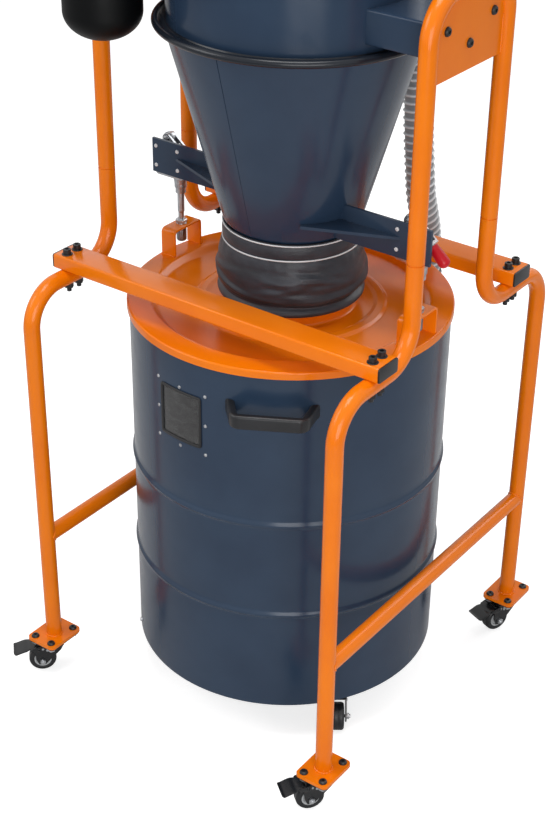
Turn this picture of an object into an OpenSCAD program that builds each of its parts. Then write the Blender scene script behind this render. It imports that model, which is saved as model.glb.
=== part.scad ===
// Mobile cyclone dust extraction unit: tube frame on casters, cyclone, wheeled drum with a lift-off lid.
// Millimetres, +Z up, origin on the floor under the middle of the unit's box, front of the unit towards -Y.

/* [Frame] */
// Outside diameter of the round frame tubes
tube_d = 28; // [26:1:32]
// Clearance between the lid's edge and a side frame's tubes
side_play = 14.5; // [10:0.5:40]
// Distance between front and rear legs, tube centre to tube centre
leg_pitch = 616; // [600:4:680]
// Distance between front and rear posts, tube centre to tube centre
post_pitch = 217; // [200:1:240]
// Inside-the-bend centreline radius of the frame tubes
tube_bend = 64; // [50:1:72]
// Height of the side braces above the floor
brace_z = 294; // [200:2:500]
// Length of the posts above the cross beams, up to the swaged joint
post_rise = 120; // [90:5:150]
// Height of each hoop above the swaged joint
hoop_rise = 394; // [380:2:420]

/* [Beams] */
// Width of the rectangular cross beams
beam_w = 52; // [48:1:60]
// Depth of the rectangular cross beams
beam_h = 25; // [20:1:40]
// Wall of the cross beams
beam_wall = 2.5; // [1.5:0.5:4]
// Overhang of a beam past the side frame's centre plane
beam_overhang = 18; // [16:1:40]
// Distance between the two bolts at a beam end
beam_bolt_pitch = 24; // [22:1:30]

/* [Feet] */
// Size of a foot plate across the unit
foot_w = 63; // [60:1:80]
// Size of a foot plate along the side frame
foot_l = 79; // [76:1:100]
// Thickness of a foot plate
foot_t = 6; // [4:1:10]
// Caster bolt spacing across the unit
foot_bolt_x = 38.5; // [36:0.5:44]
// Caster bolt spacing along the side frame
foot_bolt_y = 58.3; // [54:0.1:62]

/* [Casters] */
// Overall height of a caster
caster_h = 72; // [70:1:90]
// Diameter of a caster wheel
wheel_d = 50; // [44:1:54]
// Width of a caster wheel
wheel_w = 22; // [16:1:24]
// Distance from a swivel axis to its wheel's axle
caster_trail = 24; // [20:1:28]
// Diameter of an axle
axle_d = 6; // [5:0.5:8]
// Radius of the circle that carries the drum's three casters
drum_caster_r = 232; // [200:1:240]

/* [Drum] */
// Outside diameter of the drum
drum_d = 540; // [500:1:545]
// Wall thickness of the drum
drum_wall = 2; // [1:0.5:4]
// Height of the drum from its lower edge to its rim
drum_h = 671; // [640:1:676]
// Height of the lower bead above the drum's edge
bead_low = 202; // [150:1:300]
// Height of the upper bead above the drum's edge
bead_high = 384; // [330:1:430]
// Width of the window gasket
window_w = 88; // [70:1:110]
// Height of the window gasket
window_h = 94; // [70:1:110]
// Width of the gasket's rim
gasket_rim = 5; // [4:1:14]
// Distance from the drum's rim down to the window's middle
window_drop = 118; // [90:1:150]
// Distance from the drum's rim down to the handle's lower edge
handle_drop = 83; // [60:1:120]

/* [Lid] */
// Clearance between the drum and the lid's skirt
lid_play = 2.5; // [1:0.5:6]
// Sheet thickness of the lid
lid_wall = 1.5; // [1:0.5:2]
// Height of the lid's folded skirt
lid_skirt = 13; // [8:1:20]
// Diameter of the step between the lid's rim band and its floor
lid_step_d = 464; // [440:1:470]
// Depth of the lid's floor below its rim band
lid_dish = 10; // [4:1:14]
// Height of the lid's collar above its floor
collar_h = 64; // [40:1:70]
// Lift of the lid when both clamps are open
lid_lift = 32; // [20:1:34]

/* [Cyclone] */
// Outside diameter of the cyclone barrel
barrel_d = 398; // [380:2:410]
// Height of the cyclone barrel
barrel_h = 228; // [220:2:280]
// Sheet thickness of the cyclone
cyclone_wall = 2; // [1:0.5:3]
// Outside diameter of the flange between barrel and cone
flange_d = 442; // [430:2:450]
// Height of the cone
cone_h = 317; // [300:1:330]
// Outside diameter of the cone's outlet
cone_outlet_d = 227; // [220:1:240]
// Outside diameter of the spigots that the sleeve is clamped on
spigot_d = 214; // [200:1:216]
// Length of the spigot under the cone
spigot_h = 44; // [40:1:48]
// Outside diameter of the flexible sleeve
sleeve_d = 248; // [240:1:256]
// Outside diameter of the inlet duct
inlet_d = 120; // [100:5:130]
// Height of the inlet duct above the barrel's lower edge
inlet_up = 136; // [130:2:150]
// Distance along the duct from the barrel's tangent point to the inlet's drop
inlet_reach = 261; // [250:1:280]
// Bend radius of the inlet elbow
inlet_bend = 70; // [66:1:74]
// Height of the cap's dome over the inlet's mouth
inlet_dome = 45; // [20:1:58]

/* [Fan] */
// Diameter of the fan housing
fan_d = 380; // [340:2:396]
// Height of the fan housing
fan_h = 118; // [100:2:140]
// Diameter of the motor
motor_d = 170; // [150:2:190]
// Height of the motor above the fan housing
motor_h = 200; // [170:2:240]
// Height of the motor's cooling cowl
cowl_h = 62; // [50:1:80]
// Diameter of the exhaust outlet
exhaust_d = 100; // [80:2:110]

/* [Clamps] */
// Distance from the cyclone axis to each plunger
clamp_x = 254; // [250:1:256]
// Left plunger's place along the depth of the unit
left_clamp_y = 24; // [20:1:26]
// Right plunger's place along the depth of the unit
right_clamp_y = -10; // [-14:1:0]
// Distance from a plunger to the front face of its mounting plate
clamp_stand = 27; // [26:1:32]
// Thickness of the clamp plates
clamp_plate_t = 5; // [4:1:5]
// Diameter of a plunger rod
plunger_d = 12; // [10:1:14]
// Length of a lever from its pivot to the end of its grip
lever_l = 92; // [86:1:100]
// Diameter of a lever's grip
grip_d = 20; // [16:1:20]

/* [Hidden] */
$fn = 64;
through = 1;
// From the cyclone axis to the middle of the unit's overall box
middle = [17, 15, 0];

orange = "#ef7d1a";
dark_sheet = "#3d4855";
black = "#222326";
zinc = "#b9bdc1";

drum_r = drum_d / 2;
tube_r = tube_d / 2;
lid_r = drum_r + lid_play + lid_wall;
side_x = lid_r + side_play + tube_r;
leg_y = leg_pitch / 2;
post_y = post_pitch / 2;
foot_z = caster_h;

drum_z = caster_h;
drum_top = drum_z + drum_h;
bead_out = 3;
bead_half = 6;
window_turn = -94.9;
window_z = drum_h - window_drop;
handle_turn = -60.3;
handle_z = drum_h - handle_drop;
handle_h = 24;
handle_out = 43;
handle_base = 68;
handle_front = 61;
handle_t = 12;

seat_gap = 0.3;
lid_top = drum_top + seat_gap + lid_wall;
lid_floor = lid_top - lid_dish;
lid_step_r = lid_step_d / 2;
spigot_r = spigot_d / 2;
collar_top = lid_floor + collar_h;
ridge_r = 150;

bracket_w = 30;
bracket_l = 74;
bracket_h = 49;
bracket_t = 4;
bracket_top = lid_top + bracket_h;

beam_z = lid_top + 38;
beam_y = (leg_y + post_y) / 2 - 6;
beam_half = side_x + beam_overhang;
cap_t = 3;
run_z = beam_z - tube_r;
swage_z = beam_z + beam_h + post_rise;
hoop_top = swage_z + hoop_rise;
neck_h = 3;
neck_in = 1.2;
beam_bolt_d = 8;
hole_play = 0.3;

cone_r = cone_outlet_d / 2;
cone_z = lid_top + 144;
flange_z = cone_z + cone_h;
barrel_r = barrel_d / 2;
barrel_z = flange_z + 8;
barrel_top = barrel_z + barrel_h;
cone_top_r = barrel_r + 4;
flange_r = flange_d / 2;
spigot_z = cone_z - spigot_h;
sleeve_r = sleeve_d / 2;
sleeve_play = 1;
sleeve_t = 3;

arm_half = 83;
arm_h = 52;
arm_z = flange_z + 23;
plate_t = 5;
plate_z = flange_z - 9;
plate_bend = tube_bend - tube_r;
arm_bolts = [[0, 8], [-65, 40], [65, 40]];
arm_bolt_d = 8;
arm_bolt_l = 24;
bolt_head_d = 14;
bolt_head_h = 4;

inlet_r = inlet_d / 2;
inlet_x = -(barrel_r - inlet_r - 3 * cyclone_wall);
inlet_z = barrel_z + inlet_up;
inlet_turn = -24.5;
inlet_mouth = inlet_z - inlet_bend - 54;
inlet_cap_h = 48;
inlet_cap_wall = 1.5;

top_t = 6;
fan_z = barrel_top + top_t;
fan_top = fan_z + fan_h;
motor_top = fan_top + motor_h;
cowl_lap = 12;
scroll_out = 200;
fan_eye_d = 120;
fan_eye_h = 40;
motor_flange_t = 12;
terminal = [50, 90, 90];
terminal_up = 60;
bolt_tail = 12;
exhaust_x = -105;
exhaust_l = 60;
exhaust_z = fan_z + (fan_h - top_t) / 2;

hose_d = 53;
hose_sides = 12;
hose_elbow_r = 38;
hose_route = [
    [66, 262, 1430], [66, 262, 1400], [65, 262, 1350], [64, 262, 1290], [64, 262, 1220], [65, 262, 1150],
    [67, 262, 1080], [70, 262, 1010], [74, 263, 950], [78, 265, 900], [80, 270, 855], [82, 281, 815],
    [82, 290, 787], [82, 296, 760], [82, 298, 740], [82, 298, 722], [82, 298, 700]];

clamp_plate_h = 60;
clamp_plate_z = cone_z + 1;
clamp_mid_z = clamp_plate_z + clamp_plate_h / 2;
clamp_hole_mid = -7;
clamp_hole_x = 46;
clamp_hole_z = 34;
// Past the plunger: end of the plate, tip of its gusset
right_plate_ends = [31, -24];
left_plate_ends = [38, -13];
pivot_in = 22;
pivot_z = clamp_plate_z + 56;
lever_drop = 40;
guide_d = 20;
guide_bottom = clamp_plate_z - 39;
guide_top = clamp_plate_z + 2;
guide_bridge = 8;
flange_out = 4;
ear_half = 4;
cheek_in = 5;
cheek_t = 4;
cheek_half = 8.5;
pin_d = 6;
stem_short = 14;
lever_slot = [22.2, 28.5];
slot_r = 5.2;
bar_end = 12;
pin_play = 0.05;
shank_from = 47;
grip_from = 52;
grip_crank = 3;
grip_l = lever_l - grip_from;
bar_r = 5;
pin_z = pivot_z - pivot_in * tan(lever_drop);

wheel_r = wheel_d / 2;
cheek_gap = 2;
fork_t = 2.5;
fork_half = wheel_w / 2 + cheek_gap + fork_t;
fork_top = caster_h - 12;
race_top = caster_h - 6;
kingpin_r = 8;
caster_plate_t = 3;
drum_plate_w = 54;
drum_plate_l = 74;
pedal_x = 30;
pedal_z = wheel_r + 29;
pedal_l = 44;
pedal_w = 38;
pedal_t = 2.5;
pedal_drop = 18;
pedal_pin_r = 2.5;

// Each frame caster: side, end, heading of its wheel in degrees
casters = [[-1, -1, -135], [1, -1, -128], [1, 1, -112], [-1, 1, -120]];
// Each drum caster: place round the drum, heading of its wheel in degrees
drum_casters = [[-30, -54], [90, -62], [210, -48]];

module block(x0, x1, y0, y1, z0, z1) {
    translate([x0, y0, z0]) cube([x1 - x0, y1 - y0, z1 - z0]);
}

module rounded_plate(w, l, t, r) {
    block(-w / 2 + r, w / 2 - r, -l / 2, l / 2, 0, t);
    block(-w / 2, w / 2, -l / 2 + r, l / 2 - r, 0, t);
    for (x = [-1, 1], y = [-1, 1])
        translate([x * (w / 2 - r), y * (l / 2 - r), 0]) cylinder(r = r, h = t);
}

// Y becomes the first direction and Z the second, for tube bends in a side frame
module in_side_plane() {
    rotate([90, 0, 90]) children();
}

module quarter_bend(r, half = tube_r) {
    rotate_extrude(angle = 90) translate([r, 0]) circle(r = half);
}

module along_y(y0, y1, r) {
    translate([0, y0, 0]) rotate([-90, 0, 0]) cylinder(r = r, h = y1 - y0);
}

module along_x(x0, x1, r) {
    translate([x0, 0, 0]) rotate([0, 90, 0]) cylinder(r = r, h = x1 - x0);
}

// Rear right leg: foot plate, upright, inward step under the beam, post
module leg() {
    color(orange) difference() {
        union() {
            translate([0, leg_y, foot_z]) rounded_plate(foot_w, foot_l, foot_t, 9);
            translate([0, leg_y, foot_z]) cylinder(r = tube_r, h = run_z - tube_bend - foot_z);
            translate([0, leg_y - tube_bend, run_z - tube_bend]) in_side_plane() quarter_bend(tube_bend);
            translate([0, 0, run_z]) along_y(post_y + tube_bend, leg_y - tube_bend, tube_r);
            translate([0, post_y + tube_bend, run_z + tube_bend])
                in_side_plane() rotate(180) quarter_bend(tube_bend);
            translate([0, post_y, run_z + tube_bend]) cylinder(r = tube_r, h = swage_z - run_z - tube_bend);
        }
        translate([0, leg_y, 0]) foot_holes();
        beam_bolt_places() translate([0, 0, run_z - tube_d])
            cylinder(d = beam_bolt_d + hole_play, h = 2 * tube_d);
    }
}

module foot_holes() {
    for (x = [-1, 1], y = [-1, 1])
        translate([x * foot_bolt_x / 2, y * foot_bolt_y / 2, foot_z - through])
            cylinder(d = 8.5, h = foot_t + 2 * through);
}

module beam_bolt_places() {
    for (s = [-1, 1]) translate([0, beam_y + s * beam_bolt_pitch / 2, 0]) children();
}

module side_braces() {
    color(orange) for (s = [-1, 1]) translate([s * side_x, 0, brace_z]) difference() {
        along_y(-leg_y, leg_y, tube_r);
        for (e = [-1, 1]) translate([0, e * leg_y, -tube_d])
            cylinder(r = tube_r + hole_play / 2, h = 2 * tube_d);
    }
}

// Rear beam: box section across the unit, on top of both side frames
module beam() {
    color(orange) difference() {
        block(-beam_half, beam_half, beam_y - beam_w / 2, beam_y + beam_w / 2, beam_z, beam_z + beam_h);
        block(-beam_half - through, beam_half + through, beam_y - beam_w / 2 + beam_wall,
              beam_y + beam_w / 2 - beam_wall, beam_z + beam_wall, beam_z + beam_h - beam_wall);
        for (s = [-1, 1]) translate([s * side_x, 0, 0]) beam_bolt_places()
            translate([0, 0, beam_z - through]) cylinder(d = beam_bolt_d + hole_play, h = beam_h + 2 * through);
    }
}

module beam_end_caps() {
    color("#2e3033") for (f = [-1, 1], s = [-1, 1]) translate([s * beam_half, f * beam_y, beam_z]) {
        block(min(0, s * cap_t), max(0, s * cap_t), -beam_w / 2, beam_w / 2, 0, beam_h);
        block(min(0, -s * 10), max(0, -s * 10), -beam_w / 2 + beam_wall + hole_play,
              beam_w / 2 - beam_wall - hole_play, beam_wall + hole_play, beam_h - beam_wall - hole_play);
    }
}

module beam_bolts() {
    color(black) for (f = [-1, 1], s = [-1, 1]) translate([s * side_x, 0, 0]) scale([1, f, 1])
        beam_bolt_places() {
            translate([0, 0, beam_z - tube_d - bolt_tail])
                cylinder(d = beam_bolt_d, h = tube_d + beam_h + bolt_tail);
            translate([0, 0, beam_z + beam_h]) cylinder(d = 17, h = 2);
            translate([0, 0, beam_z + beam_h + 2]) cylinder(d = 13, h = 8);
            translate([0, 0, beam_z - tube_d - 7]) cylinder(d = 15, h = 7, $fn = 6);
        }
}

module hoop() {
    color(orange) {
        for (s = [-1, 1]) translate([0, s * post_y, 0]) {
            translate([0, 0, swage_z]) cylinder(r = tube_r - neck_in, h = neck_h);
            translate([0, 0, swage_z + neck_h]) cylinder(r = tube_r, h = hoop_rise - tube_bend - neck_h);
        }
        translate([0, post_y - tube_bend, hoop_top - tube_bend]) in_side_plane() quarter_bend(tube_bend);
        translate([0, tube_bend - post_y, hoop_top - tube_bend])
            in_side_plane() rotate(90) quarter_bend(tube_bend);
        translate([0, 0, hoop_top]) along_y(tube_bend - post_y, post_y - tube_bend, tube_r);
    }
}

// Plates that fill the hoops, rounded at the top to fit the inside of their bends
module side_plates() {
    bend_y = post_y - tube_bend;
    bend_z = hoop_top - tube_bend;
    color(orange) for (s = [-1, 1]) translate([s * side_x, 0, 0]) difference() {
        union() {
            block(-plate_t / 2, plate_t / 2, -post_y + tube_r, post_y - tube_r, plate_z, bend_z);
            block(-plate_t / 2, plate_t / 2, -bend_y, bend_y, bend_z, hoop_top - tube_r);
            for (y = [-bend_y, bend_y])
                translate([0, y, bend_z]) along_x(-plate_t / 2, plate_t / 2, plate_bend);
        }
        arm_bolt_holes(-plate_t, 2 * plate_t);
    }
}

module arm_bolt_holes(x0, l) {
    for (b = arm_bolts)
        translate([0, b[0], arm_z + b[1]]) along_x(x0, x0 + l, arm_bolt_d / 2 + hole_play / 2);
}

// Right-hand box arm from the barrel to the side plate
module mount_box() {
    difference() {
        block(barrel_r / 2, side_x - plate_t / 2, -arm_half, arm_half, arm_z, arm_z + arm_h);
        translate([0, 0, arm_z - through])
            cylinder(r = barrel_r + hole_play / 2, h = arm_h + 2 * through, $fn = 128);
        translate([side_x - plate_t / 2, 0, 0]) arm_bolt_holes(-arm_bolt_l, arm_bolt_l + through);
    }
}

module mount_boxes() {
    color(dark_sheet) {
        mount_box();
        mirror([1, 0, 0]) mount_box();
    }
}

module side_plate_bolts() {
    color(black) for (s = [0, 1]) mirror([s, 0, 0])
        for (b = arm_bolts) translate([side_x + plate_t / 2, b[0], arm_z + b[1]]) {
            along_x(-arm_bolt_l, 0, arm_bolt_d / 2);
            along_x(0, bolt_head_h, bolt_head_d / 2);
        }
}

module cyclone_barrel() {
    color(dark_sheet) difference() {
        translate([0, 0, barrel_z]) cylinder(r = barrel_r, h = barrel_h, $fn = 128);
        translate([0, 0, barrel_z - through])
            cylinder(r = barrel_r - cyclone_wall, h = barrel_h + 2 * through, $fn = 128);
        at_inlet() along_y(-barrel_r, -barrel_r / 4, inlet_r - 2 * cyclone_wall);
    }
}

module cyclone_flange() {
    color("#30353c") rotate_extrude($fn = 128) polygon([
        [barrel_r - cyclone_wall, flange_z], [flange_r - 2, flange_z], [flange_r, flange_z + 2],
        [flange_r, flange_z + 10], [flange_r - 2, flange_z + 12], [flange_r - 5, flange_z + 12],
        [flange_r - 8, flange_z + 8], [barrel_r - cyclone_wall, flange_z + 8]]);
}

module cyclone_cone() {
    color(dark_sheet) rotate_extrude($fn = 128) polygon([
        [cone_top_r, flange_z], [cone_r, cone_z], [spigot_r, cone_z], [spigot_r, spigot_z],
        [spigot_r - cyclone_wall, spigot_z], [spigot_r - cyclone_wall, cone_z],
        [cone_r - cyclone_wall, cone_z + cyclone_wall], [cone_top_r - cyclone_wall, flange_z]]);
}

module cyclone_top() {
    color(dark_sheet) translate([0, 0, barrel_top]) cylinder(r = barrel_r + 8, h = top_t, $fn = 128);
}

// Along +Y from the inlet's drop to its tangent point on the barrel
module at_inlet() {
    rotate(inlet_turn) translate([inlet_x, 0, inlet_z]) children();
}

// Middle of the inlet's duct as a solid: straight run, elbow and drop, longer at both ends by more
module inlet_run(half, more) {
    at_inlet() {
        along_y(inlet_bend - inlet_reach, more, half);
        translate([0, inlet_bend - inlet_reach, -inlet_bend])
            in_side_plane() rotate(90) quarter_bend(inlet_bend, half);
        translate([0, -inlet_reach, inlet_mouth - inlet_z - more])
            cylinder(r = half, h = inlet_z - inlet_bend - inlet_mouth + more);
    }
}

module inlet_duct() {
    color(dark_sheet) difference() {
        inlet_run(inlet_r, 0);
        inlet_run(inlet_r - cyclone_wall, through);
        translate([0, 0, barrel_z]) cylinder(r = barrel_r + hole_play / 2, h = barrel_h, $fn = 128);
    }
}

// Domed cap pushed up over the inlet's mouth
module inlet_cap() {
    bore = inlet_r + hole_play / 2;
    cap_r = inlet_r + inlet_cap_wall;
    color(black) rotate(inlet_turn) translate([inlet_x, -inlet_reach, inlet_mouth])
        rotate_extrude($fn = 96) polygon(concat(
            [[0, 0], [bore, 0], [bore, inlet_cap_h], [cap_r, inlet_cap_h]],
            [for (a = [0:9:81]) [cap_r * cos(a), -inlet_cap_wall - inlet_dome * sin(a)]],
            [[0, -inlet_cap_wall - inlet_dome]]));
}

// Scroll housing with its exhaust outlet towards the rear
module fan_housing() {
    color(dark_sheet) difference() {
        union() {
            translate([0, 0, fan_z]) cylinder(d = fan_d, h = fan_h, $fn = 128);
            translate([0, 0, fan_top - top_t]) cylinder(r = fan_d / 2 + 8, h = top_t, $fn = 128);
            block(-fan_d / 2, -20, 0, scroll_out, fan_z, fan_top - top_t);
        }
        translate([0, 0, fan_z - through]) cylinder(d = fan_eye_d, h = fan_eye_h);
    }
    color(dark_sheet) translate([exhaust_x, scroll_out, exhaust_z]) difference() {
        along_y(0, exhaust_l, exhaust_d / 2);
        along_y(cyclone_wall, exhaust_l + through, exhaust_d / 2 - cyclone_wall);
    }
}

module fan_motor() {
    color("#8b9096") {
        translate([0, 0, fan_top]) cylinder(d = motor_d + 40, h = motor_flange_t);
        translate([0, 0, fan_top + motor_flange_t]) cylinder(d = motor_d - 16, h = motor_h - motor_flange_t);
        for (a = [0:15:345])
            rotate(a) block(0, motor_d / 2, -1.5, 1.5, fan_top + 2 * motor_flange_t, motor_top);
    }
}

module motor_cowl() {
    color(black) translate([0, 0, motor_top - cowl_lap]) difference() {
        cylinder(d = motor_d + 8, h = cowl_h);
        translate([0, 0, -through]) cylinder(d = motor_d + hole_play, h = cowl_lap + through);
    }
}

module terminal_box() {
    color(black) translate([motor_d / 2 + 0.5, -terminal[1] / 2, fan_top + terminal_up])
        cube([terminal[0] - 0.5, terminal[1], terminal[2]]);
}

function hose_dir(i) = let (last = len(hose_route) - 1, d = hose_route[min(last, i + 1)] - hose_route[max(0, i - 1)])
    d / norm(d);

module vacuum_hose() {
    n = len(hose_route);
    points = [for (i = [0:n - 1]) let (d = hose_dir(i), u = cross([0, 1, 0], d) / norm(cross([0, 1, 0], d)),
              v = cross(d, u)) for (k = [0:hose_sides - 1]) let (a = 360 * k / hose_sides)
              hose_route[i] + hose_d / 2 * (cos(a) * u + sin(a) * v)];
    sides = [for (i = [0:n - 2], k = [0:hose_sides - 1]) let (k2 = (k + 1) % hose_sides)
             [i * hose_sides + k, i * hose_sides + k2, (i + 1) * hose_sides + k2, (i + 1) * hose_sides + k]];
    ends = [[for (k = [hose_sides - 1:-1:0]) k], [for (k = [0:hose_sides - 1]) (n - 1) * hose_sides + k]];
    color("#8d9196") polyhedron(points, concat(sides, ends));
}

module hose_elbows() {
    low = hose_route[len(hose_route) - 1];
    high = hose_route[0];
    color(black) {
        elbow_to(low, drum_r, -1);
        elbow_to(high, fan_d / 2, 1);
    }
}

// Elbow from a hose end to a round wall: up is 1 where the hose hangs below it
module elbow_to(p, wall_r, up) {
    reach = norm([p[0], p[1]]);
    turn = atan2(p[1], p[0]);
    difference() {
        translate([0, 0, p[2]]) rotate(turn) scale([1, 1, up]) {
            translate([reach, 0, 0]) cylinder(r = hose_d / 2 + 2, h = 14);
            translate([reach - hose_elbow_r, 0, 14]) rotate([90, 0, 0])
                rotate_extrude(angle = 90) translate([hose_elbow_r, 0]) circle(r = hose_d / 2 - 1);
            translate([0, 0, 14 + hose_elbow_r]) along_x(wall_r - 20, reach - hose_elbow_r, hose_d / 2 - 1);
            translate([0, 0, 14 + hose_elbow_r]) along_x(wall_r - 20, wall_r + 4, hose_d / 2 + 5);
        }
        cylinder(r = wall_r + hole_play / 2, h = motor_top, $fn = 128);
    }
}

// Soft sleeve between the cone's spigot and the lid's collar
module flexible_sleeve() {
    color("#26272b") rotate_extrude($fn = 96) polygon([
        [spigot_r + sleeve_play, cone_z - 4], [spigot_r + sleeve_play + sleeve_t, cone_z - 4],
        [spigot_r + sleeve_play + sleeve_t, cone_z - 38], [sleeve_r - 4, cone_z - 60],
        [sleeve_r, cone_z - 90], [sleeve_r - 1, cone_z - 112], [sleeve_r - 6, collar_top - 42],
        [spigot_r + sleeve_play, collar_top - 42], [spigot_r + sleeve_play, collar_top - 10],
        [sleeve_r - 8, cone_z - 90], [spigot_r + sleeve_play, spigot_z + 4]]);
}

module bead(z) {
    translate([0, 0, z]) rotate_extrude($fn = 128) polygon([
        [drum_r - drum_wall / 2, -bead_half], [drum_r, -bead_half], [drum_r + bead_out, -2],
        [drum_r + bead_out, 2], [drum_r, bead_half], [drum_r - drum_wall / 2, bead_half]]);
}

module drum_shell() {
    color(dark_sheet) difference() {
        union() {
            translate([0, 0, drum_z]) cylinder(r = drum_r, h = drum_h, $fn = 128);
            bead(drum_z + bead_low);
            bead(drum_z + bead_high);
        }
        translate([0, 0, drum_z + drum_wall])
            cylinder(r = drum_r - drum_wall, h = drum_h, $fn = 128);
        window_box(window_w - 2 * gasket_rim + 4, window_h - 2 * gasket_rim + 4);
    }
}

module window_box(w, h) {
    rotate(window_turn) translate([drum_r, 0, drum_z + window_z]) cube([60, w, h], center = true);
}

module window_gasket() {
    color(black) difference() {
        intersection() {
            window_box(window_w, window_h);
            translate([0, 0, drum_z]) difference() {
                cylinder(r = drum_r + 3, h = drum_h, $fn = 128);
                translate([0, 0, -through]) cylinder(r = drum_r + 0.1, h = drum_h + 2 * through, $fn = 128);
            }
        }
        window_box(window_w - 2 * gasket_rim, window_h - 2 * gasket_rim);
    }
}

module window_pane() {
    color("#9fb4c4", 0.4) intersection() {
        window_box(window_w - 2 * gasket_rim + 3, window_h - 2 * gasket_rim + 3);
        translate([0, 0, drum_z]) difference() {
            cylinder(r = drum_r - 0.1, h = drum_h, $fn = 128);
            translate([0, 0, -through])
                cylinder(r = drum_r - drum_wall + 0.1, h = drum_h + 2 * through, $fn = 128);
        }
    }
}

module drum_handle() {
    out = drum_r + handle_out;
    inner = out - handle_t;
    inner_front = handle_front - handle_t;
    inner_base = handle_base - handle_t;
    color(black) difference() {
        translate([0, 0, drum_z + handle_z]) rotate(handle_turn) linear_extrude(handle_h) difference() {
            polygon([[drum_r - 20, -handle_base - 8], [out, -handle_front],
                     [out, handle_front], [drum_r - 20, handle_base + 8]]);
            polygon([[drum_r - 30, -inner_base], [inner, -inner_front],
                     [inner, inner_front], [drum_r - 30, inner_base]]);
        }
        cylinder(r = drum_r + 0.1, h = drum_top, $fn = 128);
    }
}

module drum_lid() {
    floor_r = lid_step_r - 4;
    color(orange) rotate_extrude($fn = 128) union() {
        polygon([[lid_r - lid_wall, lid_top - lid_skirt], [lid_r, lid_top - lid_skirt], [lid_r, lid_top - 2],
                 [lid_r - 2, lid_top], [lid_step_r, lid_top], [floor_r, lid_floor],
                 [floor_r - 2, lid_floor], [floor_r - 2, lid_floor - lid_wall], [floor_r, lid_floor - lid_wall],
                 [lid_step_r, lid_top - lid_wall], [lid_r - lid_wall, lid_top - lid_wall]]);
        polygon([[floor_r - 1, lid_floor - lid_wall], [floor_r - 1, lid_floor], [ridge_r + 8, lid_floor],
                 [ridge_r + 4, lid_floor + 4], [ridge_r - 4, lid_floor + 4], [ridge_r - 8, lid_floor + 1],
                 [spigot_r + 3, lid_floor + 2], [spigot_r, lid_floor + 5], [spigot_r, collar_top],
                 [spigot_r - lid_wall, collar_top], [spigot_r - lid_wall, lid_floor - lid_wall]]);
    }
}

module at_clamps() {
    at_right() children();
    at_left() children();
}

module lid_brackets() {
    color(orange) at_clamps() difference() {
        block(-bracket_w / 2, bracket_w / 2, -bracket_l / 2, bracket_l / 2, lid_top, bracket_top);
        block(-bracket_w, bracket_w, -bracket_l / 2 + bracket_t, bracket_l / 2 - bracket_t,
              lid_top - through, bracket_top - bracket_t);
        translate([0, 0, lid_top]) cylinder(d = plunger_d + hole_play, h = bracket_h + through);
    }
}

module lid_plungers() {
    color(zinc) at_clamps() {
        translate([0, 0, bracket_top - bracket_t - 28]) cylinder(d = 17, h = 28);
        translate([0, 0, bracket_top - bracket_t])
            cylinder(d = plunger_d, h = pin_z - stem_short - bracket_top + bracket_t);
        translate([0, 0, bracket_top]) cylinder(d = 19, h = 2);
        translate([0, 0, bracket_top + 2]) cylinder(d = 19, h = 6, $fn = 6);
        block(-6, 6, -ear_half, ear_half, pin_z - 16, pin_z + 7);
        translate([0, 0, pin_z]) along_y(-cheek_in - cheek_t - 0.5, cheek_in + cheek_t + 0.5, pin_d / 2);
    }
}

module clamp_plates() {
    color(dark_sheet) difference() {
        union() {
            at_right() clamp_plate(right_plate_ends);
            at_left() mirror([1, 0, 0]) clamp_plate(left_plate_ends);
        }
        translate([0, 0, cone_z]) cylinder(r1 = cone_r, r2 = cone_top_r, h = cone_h, $fn = 128);
        at_clamps() clamp_holes();
    }
}

module clamp_plate(ends) {
    block(-clamp_x + 60, ends[0], -clamp_stand, clamp_plate_t - clamp_stand,
          clamp_plate_z, clamp_plate_z + clamp_plate_h);
    translate([0, 0, clamp_mid_z]) linear_extrude(clamp_plate_t) polygon([
        [-clamp_x + 70, -clamp_stand], [ends[1], -clamp_stand], [-clamp_x + 85, -clamp_stand - 62]]);
}

module clamp_holes() {
    for (x = [-1, 1], z = [-1, 1])
        translate([clamp_hole_mid + x * clamp_hole_x / 2, 0, clamp_mid_z + z * clamp_hole_z / 2])
            along_y(-clamp_stand - through, 0, 3.2);
}

// Fixed part of a push-pull clamp: base flange, guide barrel, ear with the lever's pivot pin
module clamp_bodies() {
    color(zinc) at_clamps() difference() {
        union() {
            block(-36, 24, clamp_plate_t - clamp_stand, clamp_plate_t - clamp_stand + flange_out,
                  guide_top - guide_bridge, clamp_plate_z + clamp_plate_h - 4);
            block(-pivot_in - 10, 11, clamp_plate_t - clamp_stand, 10, guide_top - guide_bridge, guide_top);
            block(-pivot_in - 10, -pivot_in + 10, -ear_half, ear_half, guide_top, pivot_z);
            translate([-pivot_in, 0, pivot_z]) along_y(-ear_half, ear_half, 10);
            translate([-pivot_in, 0, pivot_z]) along_y(-cheek_in - cheek_t - 1, cheek_in + cheek_t + 1, pin_d / 2);
            translate([0, 0, guide_bottom]) cylinder(d = guide_d, h = guide_top - guide_bottom);
        }
        translate([0, 0, guide_bottom - through])
            cylinder(d = plunger_d + 2 * pin_play, h = guide_top - guide_bottom + 2 * through);
        clamp_holes();
    }
}

// Lever along +X from its pivot, turned down to its closed place
module at_lever() {
    translate([-pivot_in, 0, pivot_z]) rotate([0, lever_drop, 0]) children();
}

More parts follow.
